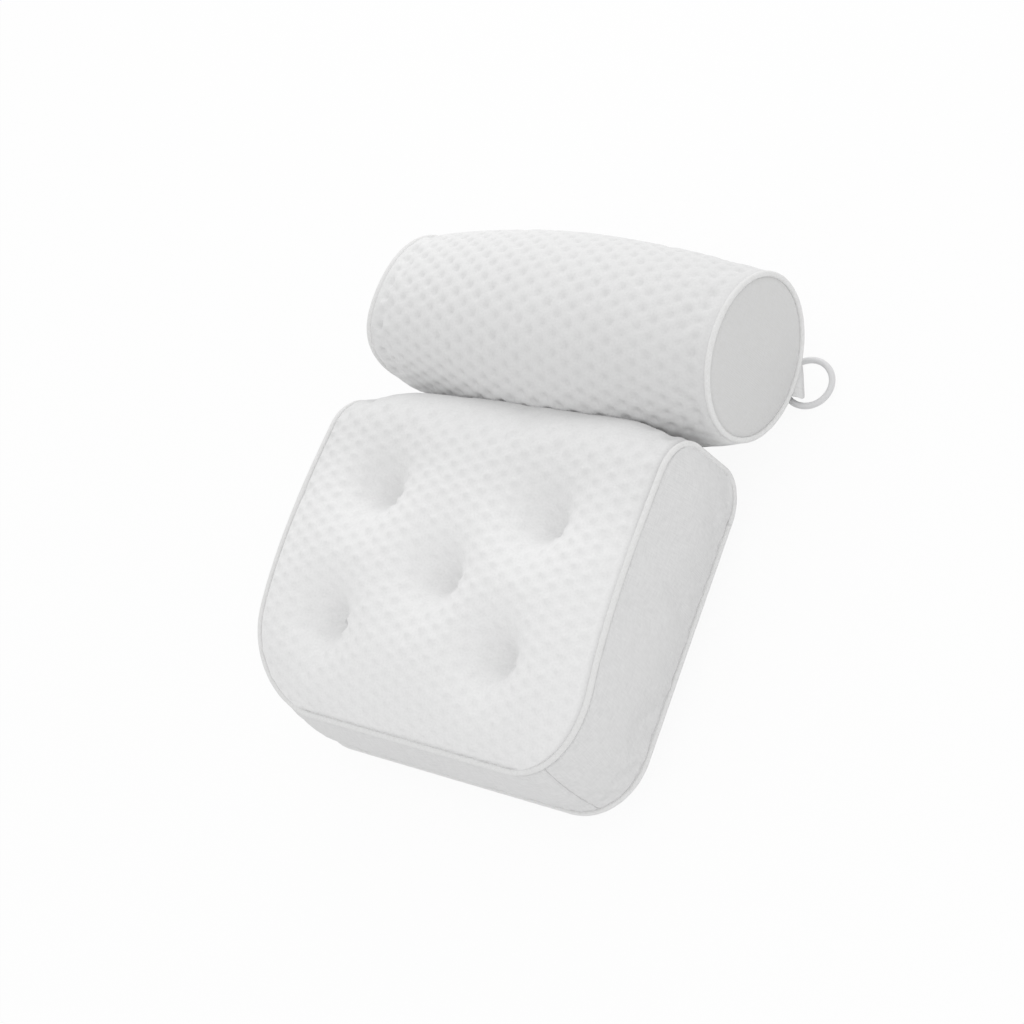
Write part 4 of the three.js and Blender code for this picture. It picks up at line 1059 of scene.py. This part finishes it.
class PILLOW_OT_roll(bpy.types.Operator):
    """Makes the head roll's mesh barrel with its filling as one cushion, and its end caps with piping"""

    bl_idname = "pillow.roll"
    bl_label = "Head Roll"

    def execute(self, context):
        form = forms()[1]
        cloth, roll = form.cloth, form.roll
        reach, off, centre = roll.long / 2 - 0.6 * MM, cloth.edge / 2, np.array([0, form.y, form.z])
        angle, x = np.arange(58) * TAU / 58, np.linspace(-reach, reach, 52)
        base = form.points(x[None, :], angle[:, None], off)
        held = np.broadcast_to(reach - np.abs(x) < 1.5 * MM, base.shape[:2])
        move = simulate(base, held, centre, pressure=3.0, growth=0.003, cap=3 * MM, wrap=True)
        fine, along = np.arange(288) * TAU / 288, np.linspace(-reach, reach, round(2 * reach / cloth.fine))
        points = form.points(along[None, :], fine[:, None], off)
        points = points + carry(move, angle, x, fine, along, wrap=TAU)
        count = 34  # dents round the barrel
        a, b = np.meshgrid(along, fine * count / TAU * cloth.dent_along)
        seam, turn = reach - np.abs(along), fine[:, None]
        # The cloth is drawn tighter on the underside and towards the right end, so the dents are shallower
        slack = mix(0.4, 1.0, smooth((np.sin(turn) + 0.25) / 0.7))
        slack = slack * mix(1.0, 0.7, smooth(along / roll.long + 0.3))
        dent = dents(a, b, cloth) * smooth(seam / (9 * MM)) * slack
        uneven = 1 + 0.3 * ripples(a, b, 16 * MM, 7)
        tuck = 0.9 * MM * (1 - smooth(seam / (1.1 * cloth.piping)))
        rise = -cloth.dent_depth * dent * uneven - tuck
        out = normals(points, wrap=True)
        out = out * np.sign(np.einsum("ijk,ijk->", out, points - centre))
        points = points + out * rise[..., None]
        ends = centre + np.outer([-1, 1], [reach - 8 * MM, 0, 0])
        # Painted shade: the whole roll is drawn greyer, most on its upper front and towards its right end,
        # and in its dents; all but the dents' part fades out on the side towards the pad and underneath
        shade = 1.3 + 0.8 * bell((np.degrees(turn) - 130) / 30) + 0.9 * along / roll.long
        shade = shade * (1 - 0.9 * smooth((np.degrees(turn) - 170) / 30)) + 0.55 * dent
        obj = make_piece("roll_cushion", np.concatenate([points.reshape(-1, 3), ends]),
                         barrel_faces(*points.shape[:2]), material("mesh"),
                         marks={"shade": np.append(shade, [0, 0])})
        place(obj, "head_roll", "air_mesh", "roll_cover", "roll_filling")
        for side, word in ((-1, "left"), (1, "right")):
            self.cap(form, side, word)
            self.welt(form, side, word)
        return {"FINISHED"}

    def cap(self, form, side, word):
        """An oval cap: the seam's ellipse at each share s of its radius, domed by D (1 - s^2), with puckers
        that die away from the seam, and a flat back."""
        roll, cloth = form.roll, form.cloth
        s, angle = np.linspace(0.02, 1, 44), np.arange(200) * TAU / 200
        inset = 0.8 * MM
        end = form.points(side * roll.long / 2, angle[:, None], -inset, s)
        y, z, jut = end[..., 1] - form.y, end[..., 2] - form.z, np.abs(end[..., 0]) - roll.long / 2
        edge = (1 - s) * (roll.deep / 2)
        dome = roll.dome * (1 - s**2) + 0.75 * MM - 1.5 * MM * (1 - smooth(edge / (3.4 * MM)))
        wave = 0.14 * MM * np.exp(-edge / (7 * MM)) * np.sin(46 * angle)[:, None]
        wave = wave + 0.35 * MM * ripples(y, z, 38 * MM, 31 + side) * (1 - s**4)
        x = side * (roll.long / 2 + jut + dome + wave * smooth(edge / (2 * MM)))
        points = np.stack([x, form.y + y, form.z + z], -1)
        tip = [side * (roll.long / 2 + roll.dome + 0.75 * MM), form.y, form.z]
        back = [side * (roll.long / 2 - 3 * MM), form.y, form.z]
        flat, faces = np.concatenate([points.reshape(-1, 3), [tip, back]]), barrel_faces(*points.shape[:2])
        obj = make_piece(f"roll_cap_{word}", flat, faces, material("cap"), [flat[f][..., 1:] for f in faces])
        place(obj, "head_roll", "plain_cloth", f"roll_end_cap_{word}")

    def welt(self, form, side, word):
        """Piping round the end seam's ellipse."""
        angle = np.arange(240) * TAU / 240
        path = form.points(side * form.roll.long / 2, angle, 0.0)
        out = path - np.array([path[0, 0], form.y, form.z])
        radius = form.cloth.piping / 2
        thick = radius * (1 + 0.025 * np.sin(37 * angle) * np.sin(5 * angle + 1))
        obj = tube_piece(f"roll_welt_{word}", path, out, thick, 14, material("piping"), closed=True)
        place(obj, "head_roll", "piping", f"roll_piping_{word}")


class PILLOW_OT_hinge(bpy.types.Operator):
    """Makes the cloth hinge strip that bends between the pad and the roll, with its rows of stitches"""

    bl_idname = "pillow.hinge"
    bl_label = "Hinge Strip"

    def execute(self, context):
        low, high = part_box("hinge_strip_lower")
        up_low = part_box("hinge_strip_upper")[0]
        form = forms()[1]
        middle = (low.z + high.z) / 2
        angle = np.linspace(-math.pi / 2 - math.pi / 8, -math.pi / 2, 26)
        off = form.cloth.edge / 2 + SEAM_GAP + (high.z - low.z) / 2
        sewn = form.points(0, angle, off)[:, 1:]
        y = np.linspace(low.y, up_low.y + 8 * MM, 60)
        line = np.concatenate([np.stack([y, middle + 0 * y], -1), sewn])
        step = lengths(line)
        even = np.linspace(0, step[-1], 110)
        y, z = (np.interp(even, step, v) for v in line.T)
        z = softened(z, 15)
        half, thick = high.x, 1.4 * MM
        x, along = np.meshgrid(np.linspace(-half, half, 120), even)
        calm = smooth((along - 20 * MM) / (20 * MM)) * smooth((step[-1] - along - 20 * MM) / (20 * MM))
        wave = 0.25 * MM * ripples(x, along, 24 * MM, 41) * calm
        points = np.stack([x, y[:, None] + 0 * x, (z - thick / 2)[:, None] + wave], -1)
        above = (0, y.mean(), 1)
        obj = closed_sheet("hinge_cloth", points, thick, above, material("cloth"), np.stack([x, along], -1))
        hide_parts("hinge_strip_lower", "hinge_strip_upper")
        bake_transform(obj)
        rows = ((3 * MM, "back_pad"), (9 * MM, "back_pad"), (step[-1] - 3 * MM, "head_roll"),
                (step[-1] - 12 * MM, "head_roll"))
        for row, (at, body) in enumerate(rows, 1):
            row_y, row_z = np.interp(at, even, y), np.interp(at, even, z) - thick / 2 - 0.1 * MM
            start, end = (np.array([side * (half - 3 * MM), row_y, row_z]) for side in (-1, 1))
            seam = stitches(f"hinge_stitches_{row}", start, end, 2.6 * MM, 0.7 * MM, 0.7 * MM)
            place(seam, body, "thread")
        return {"FINISHED"}


class PILLOW_OT_ring(bpy.types.Operator):
    """Makes the hanging ring and the cloth tab that holds it"""

    bl_idname = "pillow.ring"
    bl_label = "Ring and Tab"
    slid = 4 * MM  # how far the ring has slid along its loop

    def execute(self, context):
        self.ring()
        self.tab()
        return {"FINISHED"}

    def ring(self):
        """A torus, tilted about Y by the angle whose sine is its drop over its reach."""
        low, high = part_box("hanging_ring")
        wire = 4.5 * MM
        across = (high.y - low.y - wire) / 2
        centre = box_middle("hanging_ring") + [0, self.slid, 0]
        tilt = math.asin((high.z - low.z - wire) / (2 * across))
        e = np.array([math.cos(tilt), 0, -math.sin(tilt)])
        a = np.arange(120) * TAU / 120
        out = np.cos(a)[:, None] * e + np.sin(a)[:, None] * np.array([0, 1.0, 0])
        obj = tube_piece("ring", centre + across * out, out, wire / 2, 28, material("ring"), closed=True)
        place(obj, "ring", "ring_plastic", "hanging_ring")

    def tab(self):
        """A strap whose line runs out along the upper ply, round the fold, and back under the ring's wire to
        the root, carried as a flat section with rounded edges. The upper ply flares over the wire by a factor
        of its width, and is pulled askew: x falls by 0.48 of y at the fold, and not at all at the root."""
        low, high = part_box("hanging_tab")
        ply, root, top = 1.2 * MM, low.x, high.z
        inner = (high.z - low.z) / 2 - ply
        fold_x, middle, loop, ramp = high.x - ply - inner, (high.z + low.z) / 2, 16 * MM, 7 * MM
        r = inner + ply / 2
        start = fold_x + inner - loop + inner
        first, turn = np.linspace(root, fold_x, 40), np.linspace(math.pi / 2, -math.pi / 2, 30)[1:]
        back, rise = np.linspace(fold_x, start, 12)[1:], np.linspace(0, 1, 18)[1:]
        under = np.linspace(start - ramp, root, 16)[1:]
        x = np.concatenate([first, fold_x + r * np.cos(turn), back, start - ramp * rise, under])
        low_z, under_z = middle - r, top - 1.55 * ply
        z = np.concatenate([0 * first + top - ply / 2, middle + r * np.sin(turn), 0 * back + low_z,
                            mix(low_z, under_z, smooth(rise)), 0 * under + under_z])
        path = np.stack([x, z], -1)
        along = np.gradient(path, axis=0)
        along /= np.linalg.norm(along, axis=1, keepdims=True)
        face = np.stack([-along[:, 1], along[:, 0]], -1)
        wide, y0 = high.y - low.y, (high.y + low.y) / 2 + self.slid
        step = lengths(path)
        fold = step[len(first) + len(turn) // 2]
        flare = 1 + 0.7 * (1 - smooth((step - fold + 3 * MM) / (9 * MM)))
        askew = -0.48 * smooth((x - root - 8 * MM) / (high.x - root - 8 * MM))
        edge = np.linspace(-math.pi / 2, math.pi / 2, 7)
        flat_y = np.linspace(-1, 1, 26)[1:-1] * (wide / 2 - ply / 2)
        profile_y = np.concatenate([flat_y, wide / 2 - ply / 2 + ply / 2 * np.cos(edge), flat_y[::-1],
                                    -wide / 2 + ply / 2 - ply / 2 * np.cos(edge)])
        profile_n = np.concatenate([0 * flat_y - ply / 2, ply / 2 * np.sin(edge), 0 * flat_y + ply / 2,
                                    -ply / 2 * np.sin(edge)])
        rows, columns = len(profile_y), len(path)
        across, lift = profile_y[:, None] * flare, profile_n[:, None]
        points = np.stack([path[:, 0] + lift * face[:, 0] + across * askew, y0 + across,
                           path[:, 1] + lift * face[:, 1]], -1).reshape(-1, 3)
        index = np.arange(rows * columns).reshape(rows, columns)
        faces = [grid_faces(rows, columns, wrap=True)[0], index[None, :, 0], index[None, ::-1, -1]]
        uv = np.stack(np.meshgrid(step, profile_y), -1).reshape(-1, 2)
        obj = make_piece("ring_tab", points, faces, material("cloth"), [uv[f] for f in faces])
        place(obj, "head_roll", "plain_cloth", "hanging_tab")
        z = under_z - ply / 2 - 0.1 * MM
        near_x, far_x = root + 2 * MM, root + 11 * MM
        near_y, far_y = y0 - wide / 2 + 2 * MM, y0 + wide / 2 - 2 * MM
        # A sewn box with one diagonal
        corners = np.array([[near_x, near_y, z], [far_x, near_y, z], [far_x, far_y, z], [near_x, far_y, z],
                            [near_x, near_y, z], [far_x, far_y, z]])
        for k, (start, end) in enumerate(zip(corners, corners[1:]), 1):
            seam = stitches(f"tab_stitches_{k}", start, end, 2.2 * MM, 0.6 * MM, 0.5 * MM)
            place(seam, "head_roll", "thread")


class PILLOW_OT_cups(bpy.types.Operator):
    """Makes the six suction cups and the eyelets that hold them in the cloth"""

    bl_idname = "pillow.cups"
    bl_label = "Suction Cups"

    def execute(self, context):
        bodies = {n: b for b, members in frame["record"]["behaviour"]["bodies"].items() for n in members}
        for i in range(1, 7):
            node = f"suction_cup_{i}"
            centre, top = box_middle(node) * [1, 1, 0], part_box(node)[1].z
            profile = MM * self.cup_profile(top / MM)
            obj = lathe(f"cup_{i}", profile, centre, 72, material("cup"))
            place(obj, bodies[node], "cup_vinyl", node)
            node = f"cup_eyelet_{i}"
            low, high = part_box(node)
            profile = MM * self.eyelet_profile(low.z / MM, high.z / MM)
            obj = lathe(f"eyelet_{i}", profile, centre, 64, material("eyelet"))
            place(obj, bodies[node], "ring_plastic", node)
        return {"FINISHED"}

    def cup_profile(self, top):
        """Up the hollow, round the lip, over the dome to its shoulder, up the stem and over the knob, in
        millimetres."""
        s = np.linspace(0, 1, 22)
        hollow = np.stack([22 * s, 7 * (1 - s**2)], -1)
        lip = np.concatenate([[[22.6, 0.05]], arc(24.4, 0.6, 0.6, -90, 90, 9)])
        dome = np.stack([mix(24.1, 7.5, s), mix(1.3, 14.4, 1 - (1 - s) ** 1.5)], -1)
        step = arc(6.9, 14.0, 0.4, 20, 90, 5)
        stem = np.array([[4.4, 14.4], [4.0, 14.8], [4.0, top - 5.4], [4.4, top - 5.0]])
        knob = np.concatenate([arc(6.9, top - 4.4, 0.6, -90, 0, 5), arc(6.5, top - 2.8, 1.0, 0, 50, 5),
                               arc(4.0, top - 0.8, 0.8, 40, 90, 4)])
        return np.concatenate([hollow, lip, dome, step, stem, knob, [[0, top]]])

    def eyelet_profile(self, low, high):
        """A barrel with a rounded flange on each face of the cloth, in millimetres."""
        outer, inner = arc(9.5, low + 0.5, 0.5, -90, 90, 9), arc(8.0, high - 0.5, 0.5, -90, 90, 9)
        start, end = [[4.4, low + 0.4], [4.8, low]], [[4.8, high], [4.4, high - 0.4]]
        barrel = [[5.6, low + 1.0], [5.6, high - 1.0]]
        return np.concatenate([start, outer, barrel, inner, end])


class PILLOW_OT_stage(bpy.types.Operator):
    """Makes the pale floor, the soft studio light and the camera"""

    bl_idname = "pillow.stage"
    bl_label = "Stage"

    def execute(self, context):
        scene = context.scene
        stage = scene.pillow_stage
        scene.view_settings.view_transform = "Standard"
        self.camera(scene, stage)
        self.floor(scene.pillow_finish)
        self.world(scene, stage)
        self.lamp("key_lamp", (-0.35, 1.1, 0.55), 0.8, stage.key)
        self.lamp("fill_lamp", (0.95, -0.2, 1.0), 0.9, stage.fill)
        return {"FINISHED"}

    def camera(self, scene, stage):
        """A camera with its place and its axes as they were fitted to the photograph's view."""
        data = bpy.data.cameras.new("camera")
        data.lens, data.sensor_width = stage.focal, 36
        data.clip_start, data.clip_end = 0.05, 50
        camera = bpy.data.objects.new("camera", data)
        scene.collection.objects.link(camera)
        right, up, back = (0.7404, 0.3560, -0.5702), (-0.1469, 0.9135, 0.3794), (0.6559, -0.1972, 0.7287)
        turn = Matrix((right, up, back)).transposed().to_4x4()
        turn.translation = stage.eye
        camera.matrix_world = turn
        scene.camera = camera

    def seen(self, tree):
        """1 on a ray that shows a surface to the camera, also in a gloss or through glass, and 0 on one that
        brings its light to the pillow."""
        path = add(tree, "ShaderNodeLightPath").outputs
        seen = path["Is Camera Ray"]
        for ray in ("Is Glossy Ray", "Is Transmission Ray"):
            seen = add(tree, "ShaderNodeMath", {0: seen, 1: path[ray]}, operation="MAXIMUM").outputs[0]
        return seen

    def floor(self, finish):
        """A wide flat floor. The camera sees it nearly white, with the object's shadow kept at a part of its
        depth."""
        side, low = 4.0, -0.2 * MM
        points = np.array([[-side, -side, low], [side, -side, low], [side, side, low], [-side, side, low]])
        surface = bpy.data.materials.new("studio_floor_paint")
        surface.use_nodes = True
        tree = surface.node_tree
        tree.nodes.clear()
        paint = add(tree, "ShaderNodeBsdfDiffuse", {"Color": rgba(finish.floor)})
        glow = add(tree, "ShaderNodeEmission", {"Strength": 1.0})
        share = add(tree, "ShaderNodeMath", {0: self.seen(tree), 1: 0.93}, operation="MULTIPLY")
        both = add(tree, "ShaderNodeMixShader", {
            0: share.outputs[0], 1: paint.outputs[0], 2: glow.outputs[0],
        })
        add(tree, "ShaderNodeOutputMaterial", {"Surface": both.outputs[0]})
        make_piece("floor", points, [np.array([[0, 1, 2, 3]])], surface, solid=False)

    def world(self, scene, stage):
        """White to the camera, and an even white sky of the chosen strength to everything else."""
        scene.world = bpy.data.worlds.new("studio")
        scene.world.use_nodes = True
        tree = scene.world.node_tree
        tree.nodes.clear()
        strength = add(tree, "ShaderNodeMapRange", {
            "Value": self.seen(tree), "To Min": stage.sky, "To Max": 1.0,
        })
        light = add(tree, "ShaderNodeBackground", {"Color": (1, 1, 1, 1), "Strength": strength.outputs[0]})
        add(tree, "ShaderNodeOutputWorld", {"Surface": light.outputs[0]})

    def lamp(self, name, at, size, power):
        """A square soft lamp that looks at the pillow's middle."""
        data = bpy.data.lights.new(name, "AREA")
        data.size, data.energy = size, power
        lamp = bpy.data.objects.new(name, data)
        bpy.context.scene.collection.objects.link(lamp)
        aim = Vector((0, 0, 0.06)) - Vector(at)
        lamp.matrix_world = Matrix.Translation(at) @ aim.to_track_quat("-Z", "Y").to_matrix().to_4x4()


OPERATORS = (
    PILLOW_OT_stage,
    PILLOW_OT_pad_cover,
    PILLOW_OT_gussets,
    PILLOW_OT_pad_rear,
    PILLOW_OT_pad_piping,
    PILLOW_OT_ties,
    PILLOW_OT_roll,
    PILLOW_OT_hinge,
    PILLOW_OT_ring,
    PILLOW_OT_cups,
)


class PILLOW_PT_panel(bpy.types.Panel):
    """Lists the sizes, the finishes and the operators that make the pillow"""

    bl_idname = "PILLOW_PT_panel"
    bl_label = "Bath Pillow"
    bl_space_type = "VIEW_3D"
    bl_region_type = "UI"
    bl_category = "Bath Pillow"

    def draw(self, context):
        for key, group in GROUPS.items():
            column = self.layout.column(align=True)
            for name in group.__annotations__:
                column.prop(getattr(context.scene, key), name)
        for operator in OPERATORS:
            self.layout.operator(operator.bl_idname)


def register():
    for cls in (*GROUPS.values(), *OPERATORS, PILLOW_PT_panel):
        bpy.utils.register_class(cls)
    for key, group in GROUPS.items():
        setattr(bpy.types.Scene, key, PointerProperty(type=group))


def unregister():
    for key in GROUPS:
        delattr(bpy.types.Scene, key)
    for cls in reversed((*GROUPS.values(), *OPERATORS, PILLOW_PT_panel)):
        bpy.utils.unregister_class(cls)


def main():
    register()
    for operator in OPERATORS:
        group, name = operator.bl_idname.split(".")
        getattr(getattr(bpy.ops, group), name)()
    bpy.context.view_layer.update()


if __name__ == "__main__":
    main()
